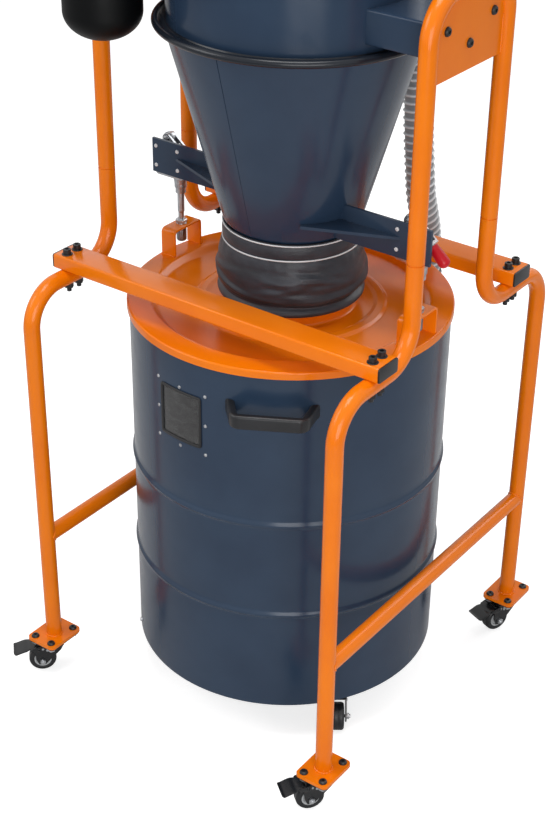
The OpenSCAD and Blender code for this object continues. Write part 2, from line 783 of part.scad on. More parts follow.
module lever() {
    color(zinc) at_lever() difference() {
        union() {
            for (s = [-1, 1]) translate([0, s * (cheek_in + cheek_t / 2) - cheek_t / 2, 0]) {
                along_y(0, cheek_t, cheek_half);
                block(0, grip_from, 0, cheek_t, -cheek_half, cheek_half);
            }
            block(shank_from, grip_from, -cheek_in - cheek_t, cheek_in + cheek_t, -cheek_half, cheek_half);
            at_crank() along_x(-3, grip_l - bar_end, bar_r);
        }
        along_y(-20, 20, pin_d / 2 + pin_play);
        for (r = lever_slot) translate([r, 0, 0]) along_y(-20, 20, slot_r);
        block(lever_slot[0], lever_slot[1], -20, 20, -slot_r, slot_r);
    }
}

// The grip's bar is cranked further down than the lever's cheeks
module at_crank() {
    translate([grip_from, 0, 0]) rotate([0, grip_crank, 0]) children();
}

module grip() {
    color("#c8141e") at_lever() at_crank() difference() {
        union() {
            along_x(3, grip_l - grip_d / 2, grip_d / 2);
            translate([grip_l - grip_d / 2, 0, 0]) sphere(d = grip_d);
        }
        along_x(0, grip_l - bar_end, bar_r);
    }
}

module at_right() {
    translate([clamp_x, right_clamp_y, 0]) children();
}

module at_left() {
    translate([-clamp_x, left_clamp_y, 0]) children();
}

module at_frame_caster(i) {
    c = casters[i];
    translate([c[0] * side_x, c[1] * leg_y, 0]) rotate(c[2]) children();
}

module at_drum_caster(i) {
    c = drum_casters[i];
    rotate(c[0]) translate([drum_caster_r, 0, 0]) rotate(c[1] - c[0]) children();
}

module caster_plate(w, l) {
    difference() {
        union() {
            translate([0, 0, caster_h - caster_plate_t]) rounded_plate(w, l, caster_plate_t, 8);
            translate([0, 0, fork_top - 2]) cylinder(r = kingpin_r, h = caster_h - fork_top - 1);
            translate([0, 0, race_top + 0.5]) cylinder(r = 17, h = caster_h - race_top - caster_plate_t);
        }
        for (x = [-1, 1], y = [-1, 1])
            translate([x * foot_bolt_x / 2, y * foot_bolt_y / 2, caster_h - caster_plate_t - through])
                cylinder(d = 8.5, h = caster_plate_t + 2 * through);
    }
}

module caster_plates() {
    color(black) {
        for (c = casters) translate([c[0] * side_x, c[1] * leg_y, 0]) caster_plate(foot_w - 3, foot_l - 3);
        for (c = drum_casters)
            rotate(c[0]) translate([drum_caster_r, 0, 0]) caster_plate(drum_plate_w, drum_plate_l);
    }
}

module fork(braked) {
    color(black) difference() {
        union() {
            for (s = [-1, 1]) translate([0, s * (fork_half - fork_t / 2) + fork_t / 2, 0]) rotate([90, 0, 0])
                linear_extrude(fork_t) polygon([[-16, fork_top], [braked ? 34 : 19, fork_top],
                    [caster_trail + 14, wheel_r + (braked ? 25 : 4)], [caster_trail + 12, wheel_r + 4],
                    [caster_trail + 7, wheel_r - 8], [caster_trail - 5, wheel_r - 8], [-10, fork_top - 12]]);
            block(-16, 19, -fork_half, fork_half, fork_top - fork_t, fork_top);
            translate([0, 0, fork_top]) cylinder(r = 19, h = race_top - fork_top);
            translate([caster_trail, 0, wheel_r]) along_y(-fork_half - 3, fork_half + 3, axle_d / 2);
        }
        cylinder(r = kingpin_r + pin_play, h = caster_h);
        if (braked) translate([pedal_x, 0, pedal_z]) along_y(-30, 30, pedal_pin_r + pin_play);
    }
}

module wheel() {
    color(black) translate([caster_trail, 0, wheel_r]) difference() {
        union() {
            along_y(-wheel_w / 2 + 2, wheel_w / 2 - 2, wheel_r);
            along_y(-wheel_w / 2, wheel_w / 2, wheel_r - 4);
        }
        along_y(-30, 30, axle_d / 2 + pin_play);
    }
}

module pedal() {
    color(black) translate([pedal_x, 0, pedal_z]) rotate([0, pedal_drop, 0]) {
        block(8, pedal_l, -pedal_w / 2, pedal_w / 2, 3, 3 + pedal_t);
        for (s = [-1, 1]) translate([0, s * (pedal_w - pedal_t) / 2, 0])
            block(-5, 12, -pedal_t / 2, pedal_t / 2, -5, 3 + pedal_t);
        along_y(-pedal_w / 2, pedal_w / 2, pedal_pin_r);
    }
}

translate(middle) {
    translate([-side_x, 0, 0]) mirror([0, 1, 0]) leg();  // left_front_leg
    translate([side_x, 0, 0]) mirror([0, 1, 0]) leg();  // right_front_leg
    translate([-side_x, 0, 0]) leg();  // left_rear_leg
    translate([side_x, 0, 0]) leg();  // right_rear_leg
    side_braces();
    mirror([0, 1, 0]) beam();  // front_beam
    beam();  // rear_beam
    beam_end_caps();
    beam_bolts();
    translate([-side_x, 0, 0]) hoop();  // left_hoop
    translate([side_x, 0, 0]) hoop();  // right_hoop
    side_plates();
    side_plate_bolts();
    mount_boxes();
    cyclone_barrel();
    cyclone_flange();
    cyclone_cone();
    cyclone_top();
    inlet_duct();
    inlet_cap();
    fan_housing();
    fan_motor();
    motor_cowl();
    terminal_box();
    vacuum_hose();
    hose_elbows();
    flexible_sleeve();
    drum_shell();
    drum_handle();
    window_gasket();
    window_pane();
    drum_lid();
    lid_brackets();
    lid_plungers();
    clamp_plates();
    clamp_bodies();
    at_left() lever();  // left_lever
    at_right() lever();  // right_lever
    at_left() grip();  // left_grip
    at_right() grip();  // right_grip
    caster_plates();
    at_frame_caster(0) fork(true);  // caster_1_fork
    at_frame_caster(0) wheel();  // caster_1_wheel
    at_frame_caster(0) pedal();  // caster_1_pedal
    at_frame_caster(1) fork(true);  // caster_2_fork
    at_frame_caster(1) wheel();  // caster_2_wheel
    at_frame_caster(1) pedal();  // caster_2_pedal
    at_frame_caster(2) fork(true);  // caster_3_fork
    at_frame_caster(2) wheel();  // caster_3_wheel
    at_frame_caster(2) pedal();  // caster_3_pedal
    at_frame_caster(3) fork(true);  // caster_4_fork
    at_frame_caster(3) wheel();  // caster_4_wheel
    at_frame_caster(3) pedal();  // caster_4_pedal
    at_drum_caster(0) fork(false);  // drum_caster_1_fork
    at_drum_caster(0) wheel();  // drum_caster_1_wheel
    at_drum_caster(1) fork(false);  // drum_caster_2_fork
    at_drum_caster(1) wheel();  // drum_caster_2_wheel
    at_drum_caster(2) fork(false);  // drum_caster_3_fork
    at_drum_caster(2) wheel();  // drum_caster_3_wheel
}
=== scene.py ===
import bmesh
import bpy
import numpy as np
from math import acos, cos, pi, radians, sin, tan
from mathutils import Matrix, Vector


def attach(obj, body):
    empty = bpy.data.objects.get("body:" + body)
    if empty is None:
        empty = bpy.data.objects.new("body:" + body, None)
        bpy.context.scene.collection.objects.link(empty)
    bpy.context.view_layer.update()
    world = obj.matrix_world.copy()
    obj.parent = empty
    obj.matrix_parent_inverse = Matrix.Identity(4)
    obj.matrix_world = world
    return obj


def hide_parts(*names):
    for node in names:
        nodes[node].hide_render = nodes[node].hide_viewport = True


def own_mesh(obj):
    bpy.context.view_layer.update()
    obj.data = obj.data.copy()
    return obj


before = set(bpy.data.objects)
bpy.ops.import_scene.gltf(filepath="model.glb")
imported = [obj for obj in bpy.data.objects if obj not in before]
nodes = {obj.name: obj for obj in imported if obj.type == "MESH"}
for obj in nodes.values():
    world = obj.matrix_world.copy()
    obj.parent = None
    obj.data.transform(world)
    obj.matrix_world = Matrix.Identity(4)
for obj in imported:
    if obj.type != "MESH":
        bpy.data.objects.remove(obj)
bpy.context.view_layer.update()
axisAt = np.array([0.017, 0.015, 0.0])  # the cyclone's axis in the frame, metres
full = 2 * pi
print("frame loaded,", len(nodes), "CAD nodes")


# camera, at the place that the tube frame's right angles in the photograph give
camera = {"at": (1.4661, -2.0244, 1.9949), "yaw": 0.6048, "pitch": 0.5534, "roll": 0.0248, "sensor": 36,
    "focal": 1663.78, "middleX": 306.68, "middleY": 443.39, "width": 550, "height": 826}


def putObject(name, data):
    thing = bpy.data.objects.new(name, data)
    bpy.context.scene.collection.objects.link(thing)
    return thing


def makeCamera(c):
    forward = Vector((-sin(c["yaw"]) * cos(c["pitch"]), cos(c["yaw"]) * cos(c["pitch"]), -sin(c["pitch"])))
    right = Vector((cos(c["yaw"]), sin(c["yaw"]), 0))
    up = right.cross(forward)
    right, up = (cos(c["roll"]) * right + sin(c["roll"]) * up, cos(c["roll"]) * up - sin(c["roll"]) * right)
    data = bpy.data.cameras.new("studioCamera")
    data.sensor_width = c["sensor"]
    data.lens = c["focal"] / c["height"] * c["sensor"]
    data.shift_x = -(c["middleX"] - c["width"] / 2) / c["height"]
    data.shift_y = (c["middleY"] - c["height"] / 2) / c["height"]
    data.clip_start, data.clip_end = 0.05, 60
    cam = putObject("studioCamera", data)
    cam.matrix_world = Matrix.Translation(c["at"]) @ Matrix((right, up, -forward)).transposed().to_4x4()
    bpy.context.scene.camera = cam


makeCamera(camera)
print("camera placed")


# mesh makers; lengths are millimetres from the cyclone's axis and the floor, and a shape is (points, faces)
def circle(sides):
    return np.arange(sides) * full / sides


def polar(radius, turn, height):
    # x and y are the radius times cosine and sine of the turn
    radius, turn, height = np.broadcast_arrays(radius, turn, height)
    return np.stack([radius * np.cos(turn), radius * np.sin(turn), height], -1)


def gridFaces(rows, cols, closeRows=False):
    # quads of a rows by cols grid, wound so that columns run anticlockwise seen from outside as rows rise
    r, c = np.meshgrid(np.arange(rows if closeRows else rows - 1), np.arange(cols), indexing="ij")
    r2, c2 = (r + 1) % rows, (c + 1) % cols
    return np.stack([r * cols + c, r * cols + c2, r2 * cols + c2, r2 * cols + c], -1).reshape(-1, 4).tolist()


def addPiece(name, shape, finish, replaced=None, smooth=32, body="frame", weld=False, recalc=True):
    # replaced is the CAD node that it stands for; edges sharper than smooth, in degrees, stay crisp
    points, faces = shape
    mesh = bpy.data.meshes.new(name)
    mesh.from_pydata((np.asarray(points, float).reshape(-1, 3) * 0.001 + axisAt).tolist(), [], faces)
    bm = bmesh.new()
    bm.from_mesh(mesh)
    if weld:  # closes seams and poles
        bmesh.ops.remove_doubles(bm, verts=bm.verts, dist=2e-6)
    if recalc:
        bmesh.ops.recalc_face_normals(bm, faces=bm.faces)
    bm.to_mesh(mesh)
    bm.free()
    mesh.shade_smooth()
    mesh.set_sharp_from_angle(angle=radians(smooth))
    mesh.materials.append(finishes[finish])
    piece = putObject(name, mesh)
    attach(piece, body)
    if replaced:
        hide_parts(replaced)
    return piece


def joined(shapes):
    points, faces, start = [], [], 0
    for p, f in shapes:
        p = np.asarray(p, float).reshape(-1, 3)
        points.append(p)
        faces += [[i + start for i in face] for face in f]
        start += len(p)
    return np.concatenate(points), faces


def capped(points):
    # a grid of rows with one face over each end
    rows, n = points.shape[:2]
    return points, gridFaces(rows, n) + [list(range(n))[::-1], [(rows - 1) * n + i for i in range(n)]]


def roundCorners(corners, radii, steps, closed=False):
    # each corner of a polyline becomes an arc that touches both of its sides
    corners = np.asarray(corners, float)
    radii = np.broadcast_to(radii, len(corners))
    out = []
    for i, p in enumerate(corners):
        if radii[i] <= 0 or (not closed and i in (0, len(corners) - 1)):
            out.append(p)
            continue
        a, b = corners[i - 1] - p, corners[(i + 1) % len(corners)] - p
        la, lb = np.linalg.norm(a), np.linalg.norm(b)
        a, b = a / la, b / lb
        half = acos(max(-1, min(1, float(a @ b)))) / 2
        reach = min(radii[i] / tan(half), la * 0.48, lb * 0.48) if half > 1e-3 else 0
        radius = reach * tan(half)
        middle = p + (a + b) / np.linalg.norm(a + b) * (radius / sin(half))
        u, v = p + a * reach - middle, p + b * reach - middle
        sweep = pi - 2 * half
        t = np.linspace(0, 1, steps + 1)[:, None]
        out += list(middle + (np.sin((1 - t) * sweep) * u + np.sin(t * sweep) * v) / sin(sweep))
    return np.array(out)


def boxOutline(x0, x1, y0, y1, r, steps=4):
    return roundCorners([[x0, y0], [x1, y0], [x1, y1], [x0, y1]], r, steps, True)


def rectangle(w, h, r, steps=4):
    return boxOutline(-w / 2, w / 2, -h / 2, h / 2, r, steps)


def split(path, step=1.0, count=0, closed=True):
    # each side of a polyline in equal lengths, of about one step or as many as count says
    parts = []
    for a, b in zip(path, np.roll(path, -1, 0)):
        pieces = count or max(2, int(np.linalg.norm(b - a) / step))
        parts.append(a + (b - a) * np.linspace(0, 1, pieces + 1)[:-1, None])
    return np.vstack(parts if closed else parts[:-1] + [path[-1:]])


def lathe(profile, sides, closeRows=False):
    # profile rows of radius and height, turned about the vertical axis
    profile = np.asarray(profile, float)
    return polar(profile[:, :1], circle(sides), profile[:, 1:]), gridFaces(len(profile), sides, closeRows)


def aim(shape, at, along=(0, 0, 1), side=None):
    # turns local z to along and local x towards side, then moves to at
    points = np.asarray(shape[0], float)
    z = np.asarray(along, float) / np.linalg.norm(along)
    hint = np.asarray(side or ((0, 0, 1) if abs(z[2]) < 0.9 else (1, 0, 0)), float)
    x = hint - (hint @ z) * z
    x /= np.linalg.norm(x)
    y = np.cross(z, x)
    return points[..., :1] * x + points[..., 1:2] * y + points[..., 2:3] * z + np.asarray(at, float), shape[1]


def turned(shape, x, y, heading):
    # turns a shape about the vertical, then moves it to x and y
    p, h = np.asarray(shape[0], float), radians(heading)
    return np.stack([x + p[..., 0] * cos(h) - p[..., 1] * sin(h),
        y + p[..., 0] * sin(h) + p[..., 1] * cos(h), p[..., 2]], -1), shape[1]


def squareTo(path, flat):
    # two directions square to a path at each of its points; flat is a direction that the path never takes
    flat = np.asarray(flat, float)
    t = np.gradient(path, axis=0)
    t /= np.linalg.norm(t, axis=1)[:, None]
    u = flat - t * (t @ flat)[:, None]
    u /= np.linalg.norm(u, axis=1)[:, None]
    return u[:, None, :], np.cross(t, u)[:, None, :]


def tubeAlong(path, radius, sides=8, flat=(0, 0, 1), ends=True):
    # circles carried along a path; the radius is one number, one per point or a grid
    u, v = squareTo(path, flat)
    a = circle(sides)
    r = radius[:, None] if np.ndim(radius) == 1 else radius
    points = path[:, None, :] + (r * np.cos(a))[..., None] * u + (r * np.sin(a))[..., None] * v
    return capped(points) if ends else (points, gridFaces(len(path), sides))


def sweepOutline(path, outline, flat, scale=1.0):
    # an outline (x along flat, y square to it) carried along a path, closed at both ends
    u, v = squareTo(path, flat)
    s = np.broadcast_to(scale, len(path))[:, None, None]
    return capped(path[:, None, :] + s * (outline[None, :, :1] * u + outline[None, :, 1:] * v))


def insetOutline(outline, by):
    # every point moves inwards along the mean of its sides' normals
    d = np.roll(outline, -1, 0) - np.roll(outline, 1, 0)
    n = np.stack([d[:, 1], -d[:, 0]], -1) / np.linalg.norm(d, axis=1)[:, None]
    return outline - n * by


def slab(outline, low, high, soft, steps=3):
    # a flat plate with softened edges: quarter-circle rows at both faces
    t = np.linspace(0, pi / 2, steps + 1)
    insets = np.concatenate([soft * (1 - np.sin(t)), soft * (1 - np.sin(t[::-1]))])
    heights = np.concatenate([low + soft * (1 - np.cos(t)), high - soft * (1 - np.cos(t[::-1]))])
    return capped(np.array([np.column_stack([insetOutline(outline, i), np.full(len(outline), h)])
        for i, h in zip(insets, heights)]))


# finishes; colours are hex codes, and rough and gloss vary a little over each surface
def linear(hexCode):
    values = [int(hexCode[i:i + 2], 16) / 255 for i in (0, 2, 4)]
    return tuple(v / 12.92 if v <= 0.04045 else ((v + 0.055) / 1.055) ** 2.4 for v in values) + (1,)


def newFinish(name, color, rough, metal=0.0, specular=0.5):
    finish = bpy.data.materials.new(name)
    finish.use_nodes = True
    shader = finish.node_tree.nodes["Principled BSDF"]
    values = {"Base Color": linear(color), "Roughness": rough, "Metallic": metal, "Specular IOR Level": specular}
    for socket, value in values.items():
        shader.inputs[socket].default_value = value
    return finish, finish.node_tree, shader


def addNode(tree, kind, **values):
    node = tree.nodes.new("ShaderNode" + kind)
    for socket, value in values.items():
        node.inputs[socket].default_value = value
    return node


def mathNode(tree, operation, *values):
    # each value is a number or a socket to link
    node = addNode(tree, "Math")
    node.operation = operation
    for socket, value in zip(node.inputs, values):
        if isinstance(value, float):
            socket.default_value = value
        else:
            tree.links.new(value, socket)
    return node.outputs[0]


def mixByRay(tree, factor, one, other, output):
    mix = addNode(tree, "MixShader")
    for source, socket in zip((factor, one, other), mix.inputs):
        tree.links.new(source, socket)
    tree.links.new(mix.outputs[0], tree.nodes[output].inputs["Surface"])


def noiseFrom(tree, scale, detail, rough=0.5, stretch=(1, 1, 1)):
    place = addNode(tree, "TexCoord")
    mapping = addNode(tree, "Mapping", Scale=stretch)
    noise = addNode(tree, "TexNoise", Scale=scale, Detail=detail, Roughness=rough)
    tree.links.new(place.outputs["Object"], mapping.inputs["Vector"])
    tree.links.new(mapping.outputs["Vector"], noise.inputs["Vector"])
    return noise.outputs["Fac"]


def rampTo(tree, source, socket, *stops):
    # a stop is a place and either a colour or a grey value
    ramp = addNode(tree, "ValToRGB")
    stops = [(place, linear(value) if isinstance(value, str) else (value, value, value, 1)) for place, value in stops]
    for element, (place, color) in zip(ramp.color_ramp.elements, (stops[0], stops[-1])):
        element.position, element.color = place, color
    for place, color in stops[1:-1]:
        ramp.color_ramp.elements.new(place).color = color
    tree.links.new(source, ramp.inputs["Fac"])
    tree.links.new(ramp.outputs["Color"], socket)


def bumpFrom(tree, shader, source, strength, distance):
    bump = addNode(tree, "Bump", Strength=strength, Distance=distance)
    tree.links.new(source, bump.inputs["Height"])
    tree.links.new(bump.outputs["Normal"], shader.inputs["Normal"])


def paint(name, color, darker, rough, peel, specular):
    # powder coat: fine orange peel, faint mottling of colour and gloss
    finish, tree, shader = newFinish(name, color, rough, specular=specular)
    rampTo(tree, noiseFrom(tree, 9, 4), shader.inputs["Base Color"], (0.3, darker), (0.62, color))
    rampTo(tree, noiseFrom(tree, 38, 3), shader.inputs["Roughness"], (0.3, rough * 0.85), (0.7, rough * 1.2))
    bumpFrom(tree, shader, noiseFrom(tree, 420, 2), peel, 0.0004)
    return finish


def metalFinish(name, color, darker, rough):
    # plated or turned steel: long fine grain and cloudy gloss
    finish, tree, shader = newFinish(name, color, rough, metal=1.0)
    rampTo(tree, noiseFrom(tree, 60, 4), shader.inputs["Base Color"], (0.32, darker), (0.6, color))
    brush = noiseFrom(tree, 260, 3, 0.6, (1, 1, 12))
    rampTo(tree, brush, shader.inputs["Roughness"], (0.25, rough * 0.7), (0.75, rough * 1.35))
    bumpFrom(tree, shader, brush, 0.1, 0.0003)
    return finish


def mouldedFinish(name, color, lighter, rough, grainScale=700, grainStrength=0.25, specular=0.4):
    # moulded plastic or rubber: fine eroded grain with slightly polished high spots
    finish, tree, shader = newFinish(name, color, rough, specular=specular)
    wear = noiseFrom(tree, 22, 5)
    rampTo(tree, wear, shader.inputs["Base Color"], (0.35, color), (0.8, lighter))
    rampTo(tree, wear, shader.inputs["Roughness"], (0.3, rough * 1.1), (0.8, rough * 0.8))
    bumpFrom(tree, shader, noiseFrom(tree, grainScale, 2), grainStrength, 0.0005)
    return finish


def vinylFinish():
    # soft black vinyl: calendered grain, small creases, uneven sheen
    finish, tree, shader = newFinish("blackVinyl", "33353b", 0.38, specular=0.25)
    crease = noiseFrom(tree, 16, 6, 0.6, (1, 1, 2.2))
    rampTo(tree, crease, shader.inputs["Base Color"], (0.3, "2b2c31"), (0.7, "3d4047"))
    rampTo(tree, crease, shader.inputs["Roughness"], (0.3, 0.28), (0.75, 0.46))
    grain = addNode(tree, "TexVoronoi", Scale=900)
    tree.links.new(addNode(tree, "TexCoord").outputs["Object"], grain.inputs["Vector"])
    bumpFrom(tree, shader, mathNode(tree, "MULTIPLY_ADD", grain.outputs["Distance"], 0.12, crease), 0.35, 0.004)
    return finish


def hoseFinish():
    # grey flexible wall between paler wire ribs; the rib attribute is 1 on a wire's crest and 0 in a groove
    finish, tree, shader = newFinish("paleHose", "b9bcbf", 0.36)
    rib = addNode(tree, "Attribute")
    rib.attribute_name = "rib"
    blend = mathNode(tree, "MULTIPLY_ADD", noiseFrom(tree, 35, 4), 0.12, rib.outputs["Fac"])
    rampTo(tree, blend, shader.inputs["Base Color"], (0.05, "8c9093"), (0.35, "a0a4a7"), (0.85, "dcdee0"))
    bumpFrom(tree, shader, noiseFrom(tree, 300, 2), 0.15, 0.0004)
    return finish


def paneFinish():
    # clear sheet with faint smears, over a dark bin
    finish, tree, shader = newFinish("clearSheet", "aab4ba", 0.06)
    shader.inputs["Transmission Weight"].default_value = 0.92
    shader.inputs["IOR"].default_value = 1.47
    smear = noiseFrom(tree, 45, 5, 0.6, (1, 1, 3))
    rampTo(tree, smear, shader.inputs["Roughness"], (0.35, 0.04), (0.8, 0.22))
    rampTo(tree, smear, shader.inputs["Base Color"], (0.3, "7d7d7e"), (0.5, "8f8f90"), (0.8, "b4b3b3"))
    return finish


finishes = {
    "orange": paint("orangePowderCoat", "ee7b06", "e87303", 0.2, 0.08, 0.28),
    "blue": paint("blueGreyPowderCoat", "2a3b50", "25354a", 0.2, 0.08, 0.3),
    # the rolled flange takes a darker copy of the blue-grey coat: painted shade on the roll
    "flange": paint("darkRollPaint", "1b2028", "161a21", 0.22, 0.08, 0.3),
    "black": paint("blackGlossSteel", "191a1c", "121315", 0.24, 0.1, 0.4),
    "oxide": paint("blackOxide", "1c1d20", "151618", 0.38, 0.2, 0.4),
    "zinc": metalFinish("zincPlate", "bfc1c4", "a0a2a6", 0.36),
    "steel": metalFinish("darkBrushedSteel", "8d8f92", "6c6e71", 0.34),
    # steel wire given as a pale, nearly white non-metal, so the white reflection it shows is painted into its colour;
    # the clamp screws use it as painted glints
    "wire": mouldedFinish("brightWire", "d4d6d9", "e4e5e7", 0.3, 600, 0.05, 0.6),
    "motor": paint("motorGrey", "83888e", "777c82", 0.36, 0.25, 0.4),
    "plastic": mouldedFinish("blackPlastic", "17181b", "222326", 0.36),
    "cap": mouldedFinish("blackCapPlastic", "030405", "060708", 0.46, 900, 0.18, 0.12),
    "rubber": mouldedFinish("blackRubber", "141517", "1f2022", 0.5),
    "tyre": mouldedFinish("tyreRubber", "151618", "242528", 0.42, 500, 0.3),
    "hub": mouldedFinish("greyHub", "a9abad", "bcbec0", 0.42, 600, 0.12),
    "red": mouldedFinish("redVinylGrip", "b80e1c", "c41222", 0.3, 500, 0.1, 0.3),
    "vinyl": vinylFinish(), "hose": hoseFinish(), "pane": paneFinish(),
}

finishNodes = {
    "orange": ["left_front_leg", "right_front_leg", "left_rear_leg", "right_rear_leg", "side_braces", "left_hoop",
               "right_hoop", "side_plates"],
    "blue": ["cyclone_barrel", "cyclone_top", "inlet_duct", "fan_housing", "clamp_plates"],
    "motor": ["fan_motor"], "plastic": ["hose_elbows"], "pane": ["window_pane"], "zinc": ["left_lever", "right_lever"],
    "black": ["caster_plates"] + [nodeName for nodeName in nodes if nodeName.endswith("_fork")],
}
for finishName, nodeNames in finishNodes.items():
    for nodeName in nodeNames:
        nodes[nodeName].data.materials.clear()
        nodes[nodeName].data.materials.append(finishes[finishName])
print("finishes made")


# vacuum hose, a fixed length between the fan's elbow and the drum's
hose = {"route": [(66, 262, 1430), (66, 262, 1400), (65, 262, 1350), (64, 262, 1290), (64, 262, 1220), (65, 262, 1150),
    (67, 262, 1080), (70, 262, 1010), (74, 263, 950), (78, 265, 900), (80, 270, 855), (82, 281, 815),
    (82, 290, 787), (82, 296, 760), (82, 298, 740), (82, 298, 722), (82, 298, 700)],
    "diameter": 53, "groove": 4.0, "pitch": 13.6, "rowsPerTurn": 12, "sides": 40}


def smoothRoute(points, step):
    # Catmull-Rom curve through the points, resampled at an even step
    p = np.asarray(points, float)
    p = np.vstack([2 * p[0] - p[1], p, 2 * p[-1] - p[-2]])
    t = np.linspace(0, 1, 24, endpoint=False)[:, None]
    a, b, c, d = p[:-3, None], p[1:-2, None], p[2:-1, None], p[3:, None]
    curve = 0.5 * (2 * b + (c - a) * t + (2 * a - 5 * b + 4 * c - d) * t ** 2 + (3 * b - a - 3 * c + d) * t ** 3)
    curve = np.vstack([curve.reshape(-1, 3), p[-2:-1]])
    along = np.concatenate([[0], np.cumsum(np.linalg.norm(np.diff(curve, axis=0), axis=1))])
    even = np.linspace(0, along[-1], int(along[-1] / step) + 2)
    return np.stack([np.interp(even, along, curve[:, k]) for k in range(3)], -1), along[-1]


def makeHose(h):
    # radius falls from the wire's crest into a soft groove; the crest climbs one pitch per turn
    path, length = smoothRoute(h["route"], h["pitch"] / h["rowsPerTurn"])
    s = np.linspace(0, length, len(path))[:, None]
    phase = (s / h["pitch"] - circle(h["sides"])[None, :] / full) % 1.0
    crest = np.exp(-np.abs((phase - 0.5) / 0.16) ** 2.6)
    radius = h["diameter"] / 2 - h["groove"] * (1 - crest) * (0.8 + 0.2 * np.cos(full * (phase - 0.5)))
    ease = np.clip(np.minimum(s, length - s) / 12, 0, 1)
    radius = (h["diameter"] / 2 - 1) * (1 - ease) + radius * ease
    piece = addPiece("corrugatedHose", tubeAlong(path, radius, h["sides"], (0, 1, 0)), "hose", "vacuum_hose", 80)
    rib = piece.data.attributes.new("rib", "FLOAT", "POINT")
    rib.data.foreach_set("value", crest.ravel().astype(np.float32))
    print("hose", round(length), "mm")


makeHose(hose)


# soft sleeve between cone and lid; a set fold is turn, height, slope, reach, width and depth
sleeve = {"heights": [757, 757.6, 760, 764, 768, 771.5, 774, 777, 781, 787, 795, 805, 816, 828, 839, 848, 853, 855,
    857, 862, 868, 874, 878.6, 880.6, 882.4, 884.6],
    "radii": [113, 118.0, 121.6, 123.2, 121.8, 118.2, 115.8, 117.4, 121.0, 123.6, 124.2, 123.6, 122.6, 121.0,
    118.4, 115.8, 113.6, 112.6, 113.4, 114.6, 115.0, 114.4, 113.2, 112.2, 112.8, 113.6],
    "wall": 2.4, "rows": 150, "cols": 360, "folds": 15, "seed": 11,
    "setFolds": ((-1.9, 792, -20, 0.75, 5.5, 2.6), (-1.35, 781, -12, 0.6, 4.5, -2.4),
    (-0.72, 812, 16, 0.16, 7, -4.2), (-0.62, 824, -30, 0.35, 5, 2.4),
    (-1.0, 806, 22, 0.4, 5, 2.2), (-2.3, 812, 18, 0.5, 6, 2.0))}


def makeSleeve(s):
    # base radius by height, plus long slanting folds: each a ridge beside a hollow, fading out at both ends
    rng = np.random.default_rng(s["seed"])
    z = np.linspace(s["heights"][0], s["heights"][-1], s["rows"])
    base = np.convolve(np.pad(np.interp(z, s["heights"], s["radii"]), 2, "edge"), [0.1, 0.25, 0.3, 0.25, 0.1], "valid")
    a = circle(s["cols"])
    zz, aa = np.meshgrid(z, a, indexing="ij")
    lift = np.zeros_like(zz)

    def addFold(a0, z0, slope, reach, width, height, sway, hollow, apart):
        d = (aa - a0 + pi) % full - pi
        x = (zz - (z0 + slope * d + sway * np.sin(3 * d + a0))) / width
        ridge = np.exp(-x ** 2) - hollow * np.exp(-(x - apart) ** 2)
        return lift + height * ridge * np.exp(-(d / reach) ** 2)

    for k in range(s["folds"]):
        a0, z0 = rng.uniform(0, full), rng.uniform(775, 838)
        slope, reach = rng.uniform(-26, 26), rng.uniform(0.35, 0.9)
        width, height = rng.uniform(5.5, 11.0), rng.uniform(1.2, 3.0) * rng.choice([-1, 1])
        lift = addFold(a0, z0, slope, reach, width, height, 4, 0.55, 1.6)
    for values in s["setFolds"]:
        lift = addFold(*values, 0, 0.5, 1.7)
    room = np.clip((zz - 759) / 8, 0, 1) * np.clip((851 - zz) / 14, 0, 1)  # folds die out at the wires and the roll
    gathers = 0.35 * np.sin(31 * aa + 1.7 * np.sin(5 * aa)) * np.exp(-((zz - 848) / 7) ** 2)
    radius = base[:, None] + np.clip(lift, -5.5, 3.2) * room + gathers
    hem = 0.5 + 0.4 * np.sin(2 * a + 0.6)
    zz = zz + hem * np.clip((790 - zz) / 33, 0, 1)
    points = np.concatenate([polar(radius, aa, zz), polar(radius - s["wall"], aa, zz)[::-1]])
    return addPiece("vinylSleeve", (points, gridFaces(len(points), s["cols"], True)), "vinyl", "flexible_sleeve", 80)


# radius, height, how far and at which turn the height sways, then the twist's radius
wires = {"upper": (113.6, 880.8, 0.8, -1.2, 115.0), "lower": (114.2, 855.2, 1.4, -0.4, 115.6)}


def makeRing(name, radius, z, bend, turn):
    # a wire ring whose height sways once round
    aa, bb = np.meshgrid(circle(160), circle(12), indexing="ij")
    points = polar(radius + 1.25 * np.cos(bb), aa, z + bend * np.cos(aa - turn) + 1.25 * np.sin(bb))
    return addPiece(name, (points, gridFaces(160, 12, True)), "wire", smooth=80)


def makeTwist(name, radius, z):
    # the wire's ends wound round each other: five turns of a helix
    t = np.linspace(0, 1, 60)
    twist = np.stack([-radius - 2.2 + 1.1 * np.cos(5 * full * t), 14 * (t - 0.5), z + 1.1 * np.sin(5 * full * t)], -1)
    return addPiece(name, tubeAlong(twist, 0.9), "wire", smooth=80)


sleevePieces = [makeSleeve(sleeve)]
sleevePieces += [makeRing(place + "SleeveWire", *values[:4]) for place, values in wires.items()]
sleevePieces += [makeTwist(place + "WireTwist", values[4], values[1]) for place, values in wires.items()]
for piece in sleevePieces:
    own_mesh(piece)
print("sleeve and wires made")


# drum: a sheet shell with two beads, a window and a carry handle
drum = {"radius": 270, "top": 743, "beads": (274, 456), "beadOut": 3.2, "beadHalf": 8, "wall": 0.002,
    "windowTurn": -94.9, "windowWide": 82, "windowHigh": 88, "windowZ": 625}


